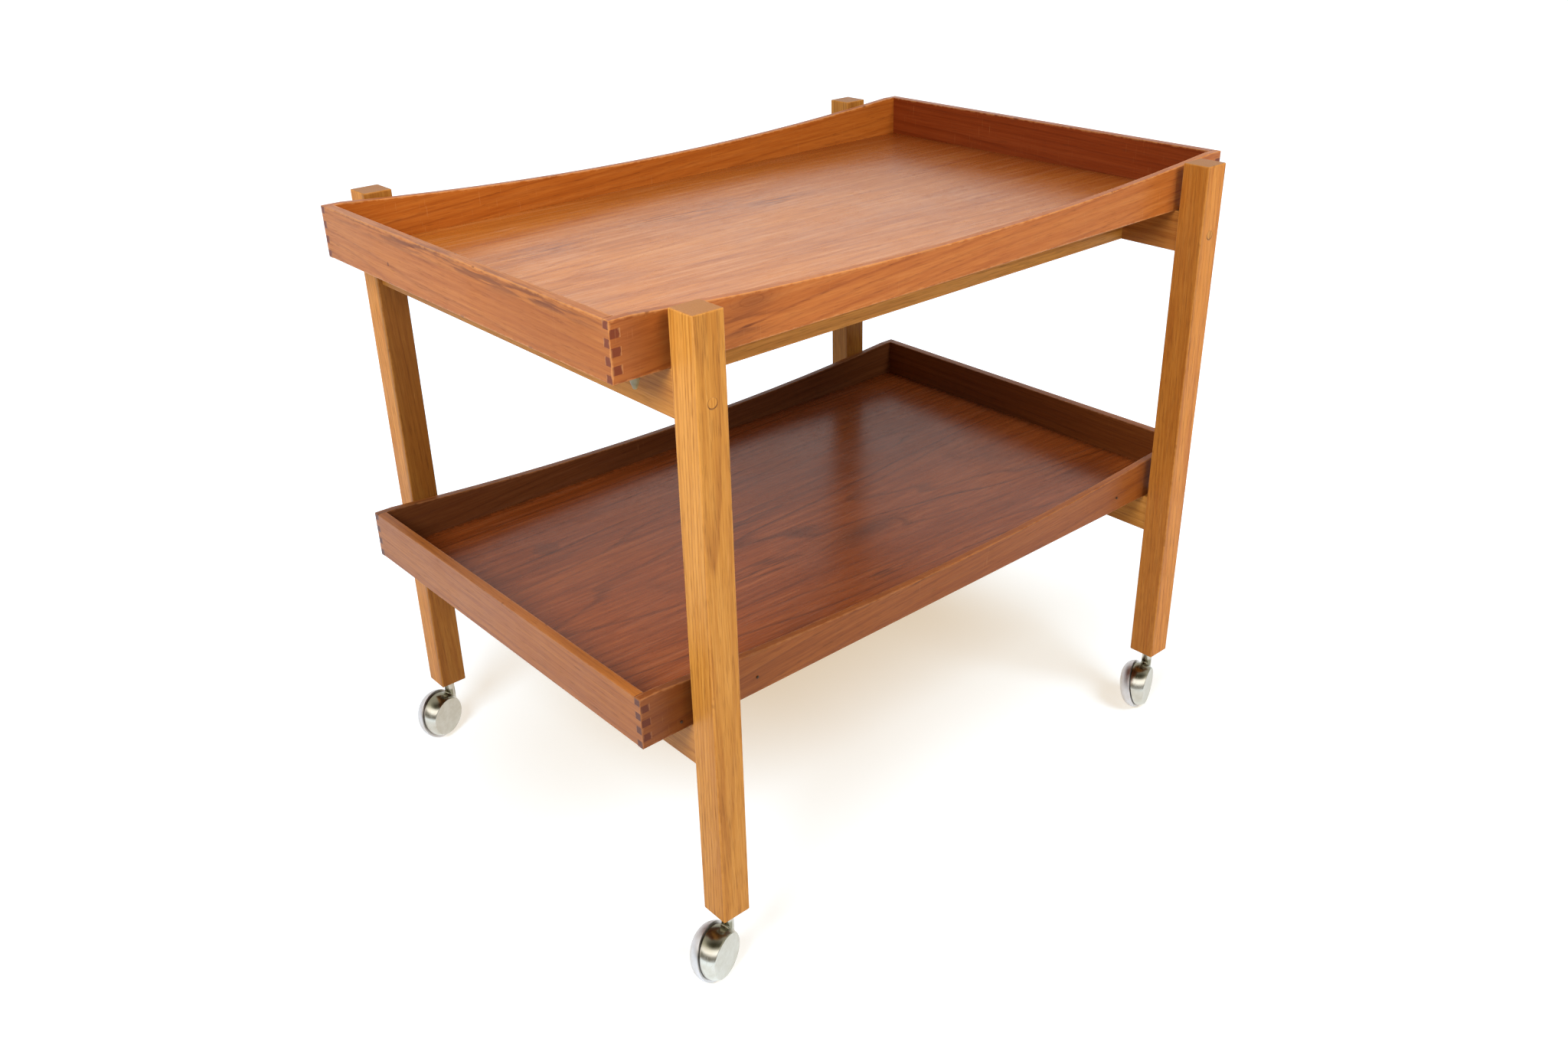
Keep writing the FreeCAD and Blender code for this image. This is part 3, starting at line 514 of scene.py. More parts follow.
def body_colour(tree, log, wood, ring):
    """Three sizes of grain on a ramp, thin straight lines over them, and the dark rings over it all."""
    slow = noise(tree, log, (1.5, 18, 18))
    streak = noise(tree, log, (2.4, 130, 130), roughness=0.55)
    fibre = noise(tree, log, (16, 620, 620), roughness=0.6)
    broad = calc(tree, "MULTIPLY", slow, SLOW_SHARE)
    tone = calc(tree, "ADD", broad, calc(tree, "MULTIPLY", streak, STREAK_SHARE))
    tone = calc(tree, "ADD", tone, calc(tree, "MULTIPLY", fibre, FIBRE_SHARE))
    thin = noise(tree, log, (1.3, 240, 240), detail=1.0)
    body = put(tree, "ShaderNodeValToRGB", {"Fac": tone})
    ramp = body.color_ramp
    ramp.elements[0].position, ramp.elements[0].color = DARK_STOP, wood.dark
    ramp.elements[1].position, ramp.elements[1].color = LIGHT_STOP, wood.light
    ramp.elements.new(MIDDLE_STOP).color = wood.middle
    dark_line = calc(tree, "MULTIPLY", remap(tree, thin, 0.56, 0.66), wood.line_share)
    pale_line = calc(tree, "MULTIPLY", remap(tree, thin, 0.42, 0.34), PALE_LINE_SHARE * wood.line_share)
    lined = blend(tree, dark_line, body.outputs["Color"], wood.ring)
    lined = blend(tree, pale_line, lined, wood.scuff)
    return blend(tree, calc(tree, "MULTIPLY", ring, wood.ring_share), lined, wood.ring)


# %% Marks of use and painted shade
# Each kind of mark, the spot output it uses and how far it darkens towards the pore colour. The shade, deep
# and face kinds are painted shade; the others are the wood's own marks.
MARK_SHAPES = {"knot": ("Near", 0.5), "smear": ("Smear", 0.75), "disc": ("Disc", 0.3),
               "nick": ("Disc", 0.8), "shade": ("Near", 0.35), "deep_shade": ("Near", 0.6),
               "face": ("Near", 0.13), "gap": ("Outside", 0.9)}
KNOT_PUSH = 0.016


def place_marks(tree, marks, place, log):
    """Each mark's kind, with what its spot puts out."""
    return [(kind, use(tree, SPOTS, Vector=place, Grain=log, Centre=centre, Reach=reach))
            for kind, centre, reach in marks]


def push_of_knots(tree, placed):
    """How far the knots among the marks push the rings aside."""
    push = 0.0
    for kind, spot in placed:
        if kind == "knot":
            push = calc(tree, "ADD", push, calc(tree, "MULTIPLY", spot["Near"], KNOT_PUSH))
    return push


def stain_and_paint_shade(tree, colour, placed, dark):
    """Darkens the wood under each mark: the wood's own marks, and painted shade under the shade marks."""
    for kind, spot in placed:
        shape, share = MARK_SHAPES[kind]
        colour = blend(tree, calc(tree, "MULTIPLY", spot[shape], share), colour, dark)
    return colour


def paint_face_shade(tree, colour, place, log, centre, reach, shares):
    """Multiplies the red, green and blue near one face by shares: painted shade on a face that little light
    reaches.
    """
    near = use(tree, SPOTS, Vector=place, Grain=log, Centre=centre, Reach=reach)["Near"]
    values = {0: near, 6: colour, 7: (*shares, 1.0)}
    return put(tree, "ShaderNodeMix", values, data_type="RGBA", blend_type="MULTIPLY").outputs[2]


# %% End grain, worn and painted edges, and the finish
NICK_SHARE = 1.4
SCRATCH_SHARE = 0.2
PORE_ROUGHNESS = 0.12


def end_grain(tree, colour, wood, grain, seen):
    """Darkens the faces that are sawn across the grain."""
    facing_end = calc_vector(tree, "DOT_PRODUCT", seen["Normal"], GRAIN_AXES[grain])
    end = remap(tree, calc(tree, "ABSOLUTE", facing_end), 0.6, 0.85)
    speckle = noise(tree, seen["Object"], (900, 900, 900))
    end_colour = blend(tree, calc(tree, "MULTIPLY", speckle, 0.5), wood.end, wood.pore)
    return blend(tree, end, colour, end_colour)


def wear_and_painted_edge_light(tree, colour, wood, place, node, dip, run):
    """Edges turned to the edge colour, dark nicks in them and fine scratches; returns the colour and the
    nicks. Pale edges on the boards are rubbed wood and painted highlight; dark edges round the floors are
    painted shade.
    """
    low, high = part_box(node)
    edge_masks = use(tree, EDGES, Vector=place, Centre=(low + high) / 2, Half=(high - low) / 2,
               Width=wood.wear_width, Dip=dip, Run=run)
    colour = blend(tree, calc(tree, "MULTIPLY", edge_masks["Mask"], wood.wear), colour, wood.edge)
    colour = blend(tree, calc(tree, "MULTIPLY", edge_masks["Nick"], NICK_SHARE * wood.wear), colour, wood.pore)
    scratch = use(tree, SCRATCHES, Vector=place)["Mask"]
    colour = blend(tree, calc(tree, "MULTIPLY", scratch, SCRATCH_SHARE), colour, wood.scuff)
    return colour, edge_masks["Nick"]


def finish_of_wood(tree, wood, place, pores, ring, nick):
    """Roughness with smudges and open pores, and the fine relief of pores, rings and nicks."""
    smudge = noise(tree, place, (14, 14, 14), detail=4.0, roughness=0.6)
    rough = remap(tree, smudge, 0.3, 0.7, wood.roughness - 0.03, wood.roughness + 0.04)
    rough = calc(tree, "ADD", rough, calc(tree, "MULTIPLY", pores, PORE_ROUGHNESS))
    hollow = calc(tree, "ADD", calc(tree, "MULTIPLY", pores, 0.8), calc(tree, "MULTIPLY", ring, 0.2))
    relief = calc(tree, "SUBTRACT", 1.0, calc(tree, "ADD", hollow, nick))
    values = {"Height": relief, "Strength": 0.15, "Distance": 0.0005}
    return rough, put(tree, "ShaderNodeBump", values).outputs[0]


# %% The whole recipe for a board
PORE_DARKNESS = 0.45
PORES_BETWEEN_RINGS = 0.55
LACQUER_IOR = 1.5


def wood_material(node, wood, grain, heart, lean=(0, 0), slide=0.0, dip=0.0, run=1.0, marks=(),
                  mirrored=False, painted_face_shade=None):
    """The wood of one CAD node.

    dip and run describe a dished rim. marks lists (kind, centre, reach), and mirrored repeats them on all
    four corners of the trolley. The last argument is (centre, reach, shares) for one face that is painted
    darker: painted shade.
    """
    material, tree = new_material(node)
    seen = put(tree, "ShaderNodeTexCoord").outputs
    place = seen["Object"]
    log = log_place(tree, place, node, grain, heart, lean, slide)
    folded = calc_vector(tree, "ABSOLUTE", place) if mirrored else place
    placed = place_marks(tree, marks, folded, log)
    push = push_of_knots(tree, placed)
    ring = use(tree, RINGS, Vector=log, Spacing=wood.spacing, Late=wood.late, Waver=wood.waver,
               Push=push)["Ring"]
    colour = body_colour(tree, log, wood, ring)
    if painted_face_shade:
        colour = paint_face_shade(tree, colour, place, log, *painted_face_shade)
    length, width = wood.pore_size
    pores = use(tree, PORES, Vector=log, Length=length, Width=width, Share=wood.pore_share)["Mask"]
    pores = calc(tree, "MULTIPLY", pores, remap(tree, ring, 0.0, 1.0, PORES_BETWEEN_RINGS, 1.0))
    colour = blend(tree, calc(tree, "MULTIPLY", pores, PORE_DARKNESS), colour, wood.pore)
    colour = stain_and_paint_shade(tree, colour, placed, wood.pore)
    colour = end_grain(tree, colour, wood, grain, seen)
    colour, nick = wear_and_painted_edge_light(tree, colour, wood, place, node, dip, run)
    rough, bump = finish_of_wood(tree, wood, place, pores, ring, nick)
    surface(tree, Base_Color=colour, Roughness=rough, Normal=bump, IOR=LACQUER_IOR,
            Specular_IOR_Level=wood.gloss)
    return material


# %% [markdown]
# ## Oak legs and rails
# The frame is golden oak, sawn so that the grain runs straight up each leg and along each rail. Oak's pores
# are long and open, and show as fine dark dashes. One face of each leg is painted a little darker: painted
# shade on the face that less light reaches. The near left leg was cut close to the pith, and its front shows
# a long pointed arch where the leg leans out of the rings. A plug closes the screw hole in each leg: it was
# cut from a piece of the same oak and set with its grain upright, so only its edge shows, as a dark gap that
# is painted wider below the plug as painted shade.

# %% Oak and beech
# Oak's pale edge colour is rubbed wood, and also paints highlight along the corners of legs and rails.
OAK = Wood(dark=tint(174, 111, 41), middle=tint(190, 128, 52), light=tint(203, 142, 65),
           ring=tint(150, 90, 33), pore=tint(98, 55, 22), end=tint(170, 114, 60), edge=tint(206, 146, 76),
           scuff=tint(214, 158, 92), spacing=0.0038, late=0.35, waver=0.01, ring_share=0.5, pore_share=0.5,
           pore_size=(0.022, 0.0011), roughness=0.42, wear=0.25)
RED_OAK = replace(OAK, dark=tint(173, 104, 38), middle=tint(189, 121, 47), light=tint(202, 136, 58))
BEECH = Wood(dark=tint(205, 165, 115), middle=tint(215, 176, 128), light=tint(224, 188, 142),
             ring=tint(196, 152, 104), pore=tint(170, 126, 84), end=tint(190, 146, 98),
             edge=tint(226, 192, 148), scuff=tint(226, 192, 148), pore_share=0.3,
             pore_size=(0.008, 0.0004), roughness=0.6, wear=0.2)
# The back left leg's oak is made lighter: painted light. The front right leg's oak is redder.
LEG_WOODS = {"front_left": replace(OAK, ring_share=0.65), "front_right": retoned(RED_OAK, (1.02, 0.94, 0.84)),
             "back_left": retoned(RED_OAK, (1.14, 1.16, 1.1)), "back_right": OAK}
print("oak for", len(LEG_WOODS), "legs and beech for the dowels")

# %% Dress the legs
LEG_CUTS = {"front_left": ((0.026, 0.006), (0.8, 0.9)), "front_right": ((0.09, 0.07), (2.0, -1.4)),
            "back_left": ((0.09, 0.09), (2.0, -1.4)), "back_right": ((0.05, 0.01), (0.4, -2.0))}
# Painted shade: the kind of darkening mark for each leg, and the face that it darkens.
PAINTED_SHADE_FACES = {"front_left": ("face", "front"), "front_right": ("shade", "left"),
                "back_left": ("deep_shade", "front"), "back_right": ("shade", "front")}
LEG_FACE_DEPTH = 0.004
LEG_FACE_WIDTH = 0.1
LEG_FACE_HEIGHT = 1.0
# The back left leg is darker still about this height, in the shade of the upper tray.
UNDER_TRAY = 0.5
UNDER_TRAY_REACH = 0.16
# Each piece is cut this much further along the log, so that no two show the same grain.
LOG_STEP = 3.1

for number, corner in enumerate(CORNERS):
    leg = f"{corner}_leg"
    low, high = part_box(leg)
    middle = (low + high) / 2
    kind, side = PAINTED_SHADE_FACES[corner]
    if side == "front":
        place, reach = (middle.x, low.y, middle.z), (LEG_FACE_WIDTH, LEG_FACE_DEPTH, LEG_FACE_HEIGHT)
    else:
        place, reach = (low.x, middle.y, middle.z), (LEG_FACE_DEPTH, LEG_FACE_WIDTH, LEG_FACE_HEIGHT)
    marks = [(kind, place, reach)]
    if corner == "back_left":
        marks.append(("shade", (middle.x, low.y, UNDER_TRAY),
                      (LEG_FACE_WIDTH, LEG_FACE_DEPTH, UNDER_TRAY_REACH)))
    heart, lean = LEG_CUTS[corner]
    dress(leg, wood_material(leg, LEG_WOODS[corner], "Z", heart, lean=lean, slide=LOG_STEP * number,
                             marks=marks))
print("oak on", len(CORNERS), "legs")

# %% Dress the rails, plugs and dowels
RAIL_DEPTH = (0.84, 0.81, 0.8)
# The front long rail is made lighter, as painted light, and the upper right cross rail darker, as painted
# shade.
PAINTED_LIGHT_RAILS = {"front_long_rail": (1.2, 1.2, 1.15), "upper_right_cross_rail": (0.72, 0.62, 0.7)}
RAIL_HEART = (0.12, 0.05)
RAIL_START = 20
PLUG_START = 40.0
# The gap's ring is raised this much, so it is wider below the plug than above: painted shade.
PLUG_SHADE_RISE = 0.0006
FAR_HEART = (0.4, 0.3)

rails = sorted(node for node in nodes if node.endswith("_rail"))
for number, rail in enumerate(rails):
    grain = "X" if "long" in rail else "Y"
    wood = retoned(OAK, PAINTED_LIGHT_RAILS.get(rail, RAIL_DEPTH))
    dress(rail, wood_material(rail, wood, grain, RAIL_HEART, lean=(0.4, 0.3),
                              slide=RAIL_START + LOG_STEP * number))
plug_low, plug_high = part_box("leg_plugs")
plug_radius = (plug_high.z - plug_low.z) / 2
plug_middle = (plug_high.x - plug_radius, plug_high.y, plug_high.z - plug_radius + PLUG_SHADE_RISE)
plug_gap = ("gap", plug_middle, (plug_radius, 1.0, plug_radius))
dress("leg_plugs", wood_material("leg_plugs", OAK, "Z", FAR_HEART, slide=PLUG_START, marks=(plug_gap,),
                                 mirrored=True))
for dowels, grain in (("cross_rail_dowels", "Y"), ("long_rail_dowels", "X")):
    dress(dowels, wood_material(dowels, BEECH, grain, FAR_HEART))
print("oak on", len(rails), "rails and on the plugs")

# %% [markdown]
# ## Teak trays
# The upper tray has bleached to a warm orange brown, and the lower one, out of the light, has stayed dark
# and red. The floors are veneer, cut so that the rings meet the face at a low angle and draw long arches.
# The boards round them are sawn straighter. Marks of use are dark smears, a round stain and a small nick.
# They could be scattered by chance, but these are placed one by one, where they are on the real trays.
# Further marks are painted shade: they darken the upper floor by its far walls, the side left of the front
# left leg on both trays, the front of the upper left end and the left of the lower front side. The inner
# faces at the back and at the right end are painted darker than the outside: painted shade, where the trays'
# walls keep light from them.

# %% Teak
# The boards' pale edge colour is rubbed wood, and also paints highlight along rims and corners.
UPPER_TEAK = Wood(dark=tint(157, 84, 31), middle=tint(168, 94, 38), light=tint(178, 105, 46),
                  ring=tint(128, 61, 21), pore=tint(92, 42, 18), end=tint(112, 50, 22),
                  edge=tint(206, 145, 88), scuff=tint(204, 146, 90), late=0.3, ring_share=0.5)
# The veneers' edge colour is dark: with wear and wear_width it paints a band of shade where the floor meets
# the walls.
UPPER_VENEER = Wood(dark=tint(174, 99, 32), middle=tint(187, 111, 41), light=tint(198, 123, 51),
                    ring=tint(148, 76, 24), pore=tint(108, 45, 12), end=tint(112, 50, 22),
                    edge=tint(110, 54, 20), scuff=tint(222, 164, 116), spacing=0.0055, late=0.3,
                    waver=0.03, ring_share=0.4, line_share=0.42, roughness=0.25, gloss=0.4, wear=0.32,
                    wear_width=0.012)
LOWER_TEAK = Wood(dark=tint(127, 69, 27), middle=tint(138, 79, 32), light=tint(149, 89, 38),
                  ring=tint(102, 51, 20), pore=tint(70, 34, 17), end=tint(92, 42, 20),
                  edge=tint(160, 107, 67), scuff=tint(170, 119, 76), late=0.3, ring_share=0.45)
# This dark edge colour too is painted shade along the walls.
LOWER_VENEER = Wood(dark=tint(110, 52, 18), middle=tint(125, 61, 23), light=tint(138, 72, 30),
                    ring=tint(62, 26, 11), pore=tint(50, 22, 12), end=tint(92, 42, 20),
                    edge=tint(52, 24, 12), scuff=tint(172, 116, 84), spacing=0.006, late=0.25, waver=0.035,
                    ring_share=0.55, line_share=0.14, roughness=0.25, gloss=0.22, wear=0.6,
                    wear_width=0.014)
print("teak: two boards' woods and two veneers")

# %% Marks and painted shade on the trays
# The knots, smears, disc and nick are the trays' own marks; the shade, deep and face marks are painted
# shade.
MARKS = {
    "upper_tray_front_side": (("knot", (-0.254, -0.24, 0.632), (0.026, 0.02, 0.008)),
                              ("smear", (-0.262, -0.24, 0.616), (0.035, 0.02, 0.008)),
                              ("deep_shade", (-0.362, -0.24, 0.62), (0.035, 0.02, 0.05))),
    "upper_tray_left_end": (("smear", (-0.39, 0.03, 0.645), (0.02, 0.15, 0.007)),
                            ("smear", (-0.39, -0.14, 0.643), (0.02, 0.09, 0.006)),
                            ("nick", (-0.39, 0.111, 0.618), (0.004, 0.0016, 0.0022)),
                            ("face", (-0.39, -0.24, 0.62), (0.02, 0.13, 0.06)),
                            ("face", (-0.39, -0.16, 0.62), (0.02, 0.1, 0.06))),
    "upper_tray_panel": (("deep_shade", (0.40, 0.08, 0.605), (0.21, 0.36, 0.1)),
                         ("deep_shade", (0.12, 0.25, 0.605), (0.45, 0.09, 0.1)),
                         ("deep_shade", (0.39, 0.0, 0.605), (0.07, 0.5, 0.1)),
                         ("shade", (0.33, 0.24, 0.605), (0.26, 0.05, 0.1)),
                         ("smear", (-0.05, 0.1, 0.605), (0.09, 0.02, 0.02)),
                         ("smear", (0.04, 0.075, 0.605), (0.05, 0.012, 0.02)),
                         ("smear", (-0.25, 0.087, 0.605), (0.05, 0.02, 0.02))),
    "lower_tray_panel": (("smear", (-0.113, -0.076, 0.276), (0.05, 0.012, 0.02)),
                         ("smear", (-0.03, -0.17, 0.276), (0.035, 0.008, 0.02)),
                         ("smear", (-0.06, 0.02, 0.276), (0.06, 0.01, 0.02)),
                         ("disc", (-0.259, 0.116, 0.276), (0.016, 0.014, 0.05)),
                         ("knot", (0.02, -0.09, 0.276), (0.05, 0.014, 0.02))),
    "lower_tray_front_side": (("face", (-0.16, -0.24, 0.29), (0.2, 0.02, 0.06)),
                              ("smear", (-0.06, -0.236, 0.3), (0.05, 0.02, 0.004)),
                              ("deep_shade", (-0.362, -0.24, 0.29), (0.035, 0.02, 0.05))),
}
print(sum(len(marks) for marks in MARKS.values()), "marks of use and painted shade")

# %% Painted light on some boards, and painted shade on inner faces
PLAIN = (1.0, 1.0, 1.0)
# Painted light: these shares make both left ends lighter and take some green and blue from the lower front
# side, for how brightly each board is lit.
PAINTED_LIGHT_SHARES = {"lower_tray_left_end": (1.28, 1.33, 1.18), "lower_tray_front_side": (1.0, 0.91, 0.84),
          "upper_tray_left_end": (1.03, 1.12, 1.08)}
# Painted shade: the inner face of each of these boards is multiplied by its shares, so it is darker than the
# outside.
SHADED_INNER_FACES = {"upper_tray_right_end": (0.53, 0.31, 0.33), "upper_tray_back_side": (0.87, 0.78, 0.55),
               "lower_tray_back_side": (0.5, 0.5, 0.78), "lower_tray_right_end": (0.65, 0.58, 0.65)}
FACE_DEPTH = 0.005
WHOLE_FACE = 1000


def shaded_inner_face(board):
    """The inner face of a back side or a right end, which gets painted shade, as wood_material takes it;
    none for other boards.
    """
    if board not in SHADED_INNER_FACES:
        return None
    low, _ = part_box(board)
    if board.endswith("_side"):
        return (0, low.y, 0), (WHOLE_FACE, FACE_DEPTH, WHOLE_FACE), SHADED_INNER_FACES[board]
    return (low.x, 0, 0), (FACE_DEPTH, WHOLE_FACE, WHOLE_FACE), SHADED_INNER_FACES[board]


print("inner faces of", len(SHADED_INNER_FACES), "boards")

# %% Dress the trays
RIM_DIP = 0.016
RIM_RUN = 0.370
TRAYS = (("upper", UPPER_TEAK, UPPER_VENEER, 50.0), ("lower", LOWER_TEAK, LOWER_VENEER, 90.0))
SIDE_START = 5
END_START = 10
VENEER_HEART = (-0.03, -0.26)
BOARD_HEART = (0.13, -0.07)

for tier, board_wood, floor_wood, start in TRAYS:
    panel = f"{tier}_tray_panel"
    dress(panel, wood_material(panel, floor_wood, "X", VENEER_HEART, lean=(2.2, 0.8), slide=start,
                               marks=MARKS[panel]))
    for number, side in enumerate(("front", "back")):
        board = f"{tier}_tray_{side}_side"
        wood = retoned(board_wood, PAINTED_LIGHT_SHARES.get(board, PLAIN))
        dress(board, wood_material(board, wood, "X", BOARD_HEART, lean=(2.2, 1.4),
                                   slide=start + SIDE_START + number, dip=RIM_DIP, run=RIM_RUN,
                                   marks=MARKS.get(board, ()), painted_face_shade=shaded_inner_face(board)))
    for number, end in enumerate(("left", "right")):
        board = f"{tier}_tray_{end}_end"
        wood = retoned(board_wood, PAINTED_LIGHT_SHARES.get(board, PLAIN))
        dress(board, wood_material(board, wood, "Y", BOARD_HEART, lean=(0.8, 0.5),
                                   slide=start + END_START + number, marks=MARKS.get(board, ()),
                                   painted_face_shade=shaded_inner_face(board)))
    print("teak on the", tier, "tray")

# %% [markdown]
# ## Metal and plastic
# The casters' hoods are chromed and the wheels are of pale satin metal. Years of rolling leave fine
# scratches on both, so their gloss changes in small patches. The hood's ball just below its neck is painted
# darker: a painted reflection of the shaded leg above it. The hood's flat face was brushed towards its
# middle and the wheel was turned on a lathe, so each caster gets coordinates about its own axle for those
# fine marks. With one axle for all, they would run the wrong way on three of the four. The feet under the
# upper tray are of cloudy plastic.

# %% Fine marks and painted reflection
BRUSH_STROKES = 40.0
LATHE_LINES = 2600
PAINTED_DARK_REFLECTION = (0.25, 0.23, 0.16, 1)
REFLECTION_FROM, REFLECTION_FULL = 0.0165, 0.0215
NECK_FROM, NECK_TO = 0.027, 0.031


def about_axle(tree, place, centre, axis):
    """Coordinates with their origin at centre and their Z along axis."""
    turn = Vector(axis).rotation_difference(Vector((0, 0, 1))).to_matrix()
    values = {"Vector": place, "Rotation": turn.to_euler(), "Location": -(turn @ Vector(centre))}
    return put(tree, "ShaderNodeMapping", values).outputs[0]


def brush_marks(tree, turned):
    """Fine marks that run to the middle."""
    place = parts(tree, turned)
    circling = calc(tree, "MULTIPLY", calc(tree, "ARCTAN2", place["Y"], place["X"]), BRUSH_STROKES)
    ray = put(tree, "ShaderNodeCombineXYZ", {"X": circling}).outputs[0]
    return noise(tree, ray, detail=3.0)


def lathe_marks(tree, turned):
    """Fine rings about the middle."""
    radius = calc_vector(tree, "LENGTH", calc_vector(tree, "MULTIPLY", turned, (1, 1, 0)))
    ring = put(tree, "ShaderNodeCombineXYZ", {"X": radius}).outputs[0]
    return noise(tree, ring, (LATHE_LINES, 1, 1), detail=3.0)


def paint_dark_reflection(tree, colour, place, centre, flat):
    """Darkens the ball of a hood just below its neck, as painted reflection of the shaded leg above it, and
    leaves its flat face as it is.
    """
    height = calc(tree, "SUBTRACT", parts(tree, place)["Z"], centre[2])
    below_neck = calc(tree, "MULTIPLY", remap(tree, height, REFLECTION_FROM, REFLECTION_FULL),
                      remap(tree, height, NECK_FROM, NECK_TO, 1.0, 0.0))
    painted_reflection = calc(tree, "MULTIPLY", below_neck, calc(tree, "SUBTRACT", 1.0, flat))
    return blend(tree, painted_reflection, colour, PAINTED_DARK_REFLECTION)


# %% Metal and plastic recipes
DULL_SHARES = (0.86, 0.84, 0.80)
MARK_ROUGHNESS = 0.3
SCRATCH_ROUGHNESS = 0.2
PLASTIC_DARK = tint(132, 122, 82)
PLASTIC_PALE = tint(172, 161, 120)


def metal_material(name, colour, roughness, spread, centre, axis, brushed=False):
    """Metal with patchy gloss: brushed on its flat face for a hood, or else turned on a lathe."""
    material, tree = new_material(name)
    seen = put(tree, "ShaderNodeTexCoord").outputs
    place = seen["Object"]
    turned = about_axle(tree, place, centre, axis)
    patch = noise(tree, place, (90, 90, 90), detail=4.0, roughness=0.65)
    dull = tuple(channel * share for channel, share in zip(colour, DULL_SHARES)) + (1,)
    tinted = blend(tree, remap(tree, patch, 0.35, 0.7), dull, colour)
    if brushed:
        flat = remap(tree, calc_vector(tree, "DOT_PRODUCT", seen["Normal"], axis), 0.97, 0.995)
        fine = calc(tree, "MULTIPLY", brush_marks(tree, turned), flat)
        tinted = paint_dark_reflection(tree, tinted, place, centre, flat)
    else:
        fine = lathe_marks(tree, turned)
    rough = remap(tree, patch, 0.3, 0.75, roughness, roughness + spread)
    rough = calc(tree, "ADD", rough, calc(tree, "MULTIPLY", fine, MARK_ROUGHNESS))
    scratch = use(tree, SCRATCHES, Vector=place)["Mask"]
    rough = calc(tree, "ADD", rough, calc(tree, "MULTIPLY", scratch, SCRATCH_ROUGHNESS))
    bump = put(tree, "ShaderNodeBump", {"Height": fine, "Strength": 0.06, "Distance": 0.0002}).outputs[0]
    surface(tree, Base_Color=tinted, Roughness=rough, Normal=bump, Metallic=1.0)
    return material


def plastic_material(name):
    """Cloudy grey-green plastic that lets some light through."""
    material, tree = new_material(name)
    place = put(tree, "ShaderNodeTexCoord").outputs["Object"]
    cloud = noise(tree, place, (160, 160, 160), detail=3.0)
    colour = blend(tree, remap(tree, cloud, 0.3, 0.7), PLASTIC_DARK, PLASTIC_PALE)
    rough = remap(tree, cloud, 0.3, 0.7, 0.28, 0.45)
    surface(tree, Base_Color=colour, Roughness=rough, Transmission_Weight=0.3, IOR=1.48)
    return material


# %% Dress the casters, screws and tray feet
CHROME = (0.63, 0.60, 0.53, 1)
PALE_METAL = (0.71, 0.68, 0.68, 1)
STEEL = (0.52, 0.51, 0.50, 1)
joints = {joint["name"]: joint for joint in frame["joints"]}

for corner in CORNERS:
    spin = joints[f"{corner}_wheel_spin"]
    centre, axle = spin["pos_m"], spin["axis"]
    across = Vector((axle[0], axle[1], 0)).normalized()
    chrome = metal_material(f"{corner} chrome", CHROME, roughness=0.2, spread=0.08, centre=centre,
                            axis=across, brushed=True)
    satin = metal_material(f"{corner} wheel metal", PALE_METAL, roughness=0.2, spread=0.16, centre=centre,
                           axis=axle)
    steel = metal_material(f"{corner} steel", STEEL, roughness=0.22, spread=0.15, centre=centre, axis=axle)
    dress(f"{corner}_caster_hood", chrome)
    dress(f"{corner}_caster_wheel", satin)
    for piece in ("socket", "stem", "axle"):
        dress(f"{corner}_caster_{piece}", steel)
# The screws lie hidden under their plugs, so they share the last caster's steel.
dress("rail_screws", steel)
dress("upper_tray_feet", plastic_material("tray foot"))
print("metal on", len(CORNERS), "casters")

# %% [markdown]
# ## Pins in the lower tray
# Two small steel pins show on the lower tray's long side, near the leg: they fasten the side to the floor
# board behind it. Such a pin could be turned from a profile, but a short rod whose outer face is inset,
# pushed out and softened gives the same domed head with few faces. One pin is modelled, and the others are
# copies of it.

# %% Model one pin
PIN_RADIUS = 0.0013
PIN_LENGTH = 0.0016
PIN_SIDES = 24
PIN_DOME = 0.0004
COLLAR_SHARE = 0.45
CENTRE_SHARE = 0.2
DENT_SHARE = 0.3
SOFT_SHARE = 0.12


def select_faces(piece, wanted):
    """In object mode, selects only the faces whose normal passes the test, ready for edit mode."""
    mesh = piece.data
    for items in (mesh.vertices, mesh.edges, mesh.polygons):
        items.foreach_set("select", [False] * len(items))
    for face in mesh.polygons:
        face.select = wanted(face.normal)


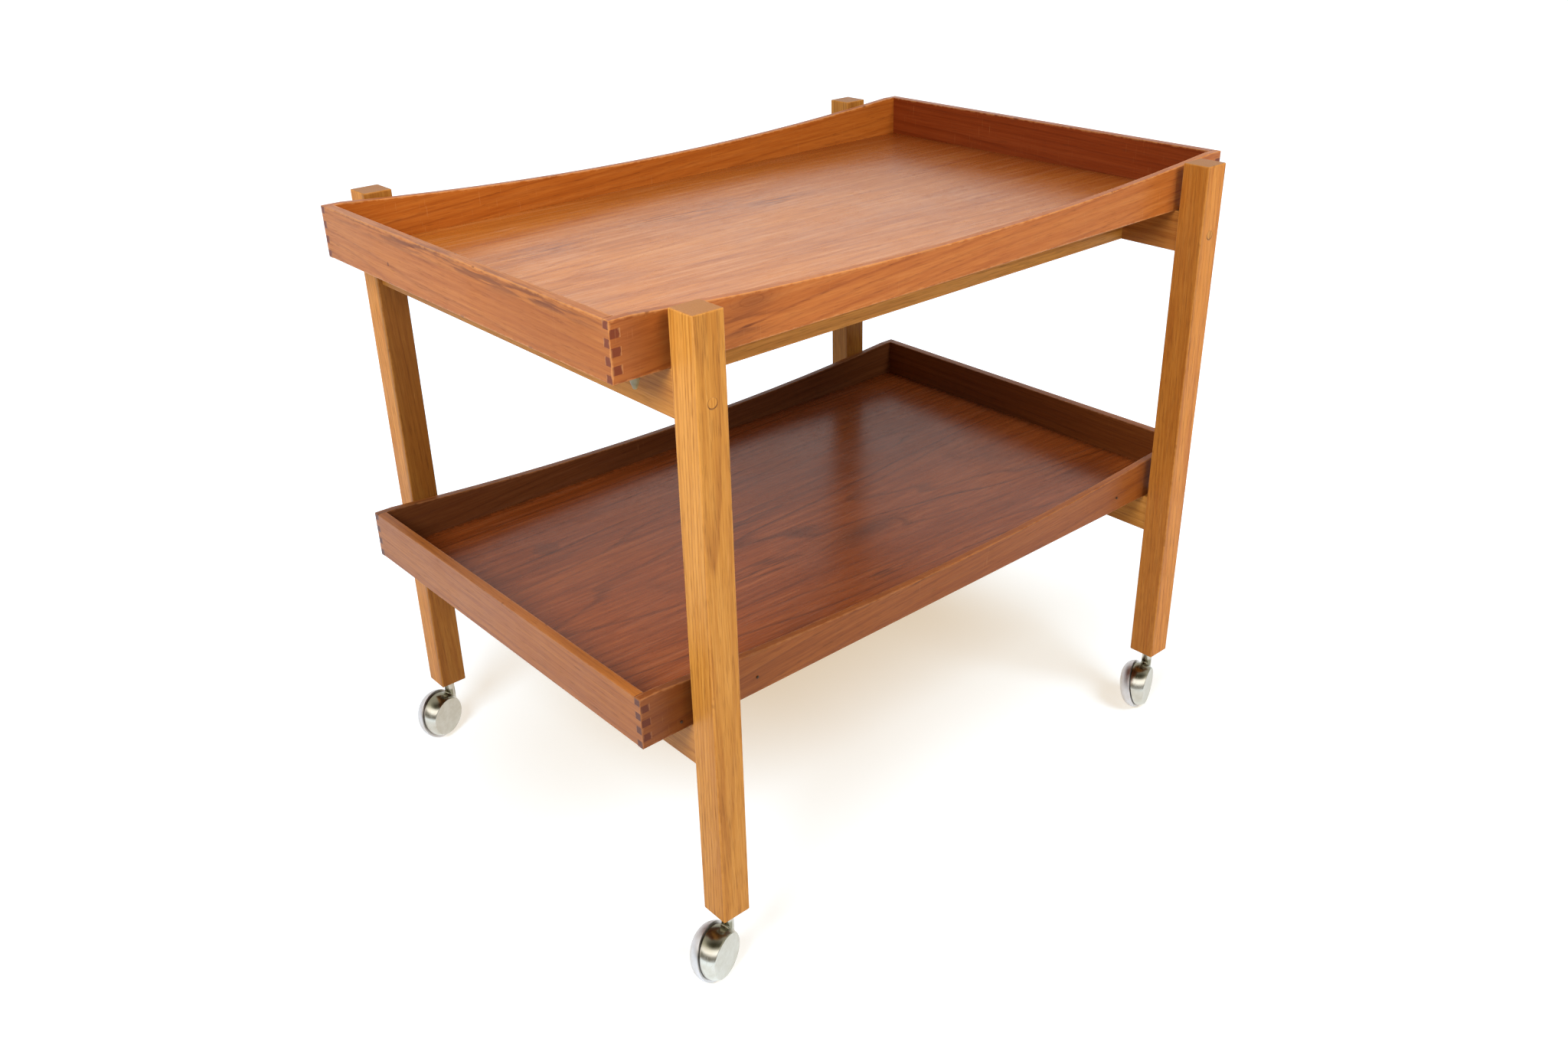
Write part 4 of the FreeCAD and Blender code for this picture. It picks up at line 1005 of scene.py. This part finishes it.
bpy.ops.object.select_all(action="DESELECT")
bpy.ops.mesh.primitive_cylinder_add(vertices=PIN_SIDES, radius=PIN_RADIUS, depth=PIN_LENGTH,
                                    rotation=(math.pi / 2, 0, 0))
pin = bpy.context.object
bpy.ops.object.transform_apply(location=False, rotation=True, scale=True)
select_faces(pin, lambda normal: normal.y < -0.9)
bpy.ops.object.mode_set(mode="EDIT")
bpy.ops.mesh.select_mode(type="FACE")
bpy.ops.mesh.inset(thickness=PIN_RADIUS * COLLAR_SHARE)
bpy.ops.transform.translate(value=(0, -PIN_DOME, 0))
bpy.ops.mesh.inset(thickness=PIN_RADIUS * CENTRE_SHARE)
bpy.ops.transform.translate(value=(0, PIN_DOME * DENT_SHARE, 0))
bpy.ops.object.mode_set(mode="OBJECT")
soften = pin.modifiers.new("soften", "BEVEL")
soften.width = PIN_RADIUS * SOFT_SHARE
soften.segments = 2
bpy.ops.object.modifier_apply(modifier=soften.name)
bpy.ops.object.shade_smooth_by_angle(angle=math.radians(40))
print("a pin has", len(pin.data.polygons), "faces")

# %% Place the pins
PIN_STEEL = (0.10, 0.062, 0.04, 1)
PIN_PLACES = ((0.349, 0.279), (0.263, 0.286))
pin_finish = metal_material("pin steel", PIN_STEEL, roughness=0.35, spread=0.2, centre=(0, 0, 0),
                            axis=(0, 1, 0))
pin.data.materials.append(pin_finish)
front_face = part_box("lower_tray_front_side")[0].y
pins = []
for face, turn in ((front_face, 0), (-front_face, math.pi)):
    for end in (-1, 1):
        for reach, height in PIN_PLACES:
            copy = pin.copy()
            copy.data = pin.data.copy()
            copy.name = f"lower_tray_pin_{len(pins) + 1}"
            copy.location = (end * reach, face, height)
            copy.rotation_euler = (0, 0, turn)
            bpy.context.collection.objects.link(copy)
            pins.append(copy)
bpy.ops.object.select_all(action="DESELECT")
for copy in pins:
    copy.select_set(True)
bpy.context.view_layer.objects.active = pins[0]
bpy.ops.object.transform_apply(location=True, rotation=True, scale=True)
bpy.data.objects.remove(pin)
for copy in pins:
    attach(copy, "frame")
print(len(pins), "pins in the lower tray")

# %% The dressed trolley's size, and the end
low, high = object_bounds()
print(f"the dressed trolley reaches from {tuple(low)} to {tuple(high)}")
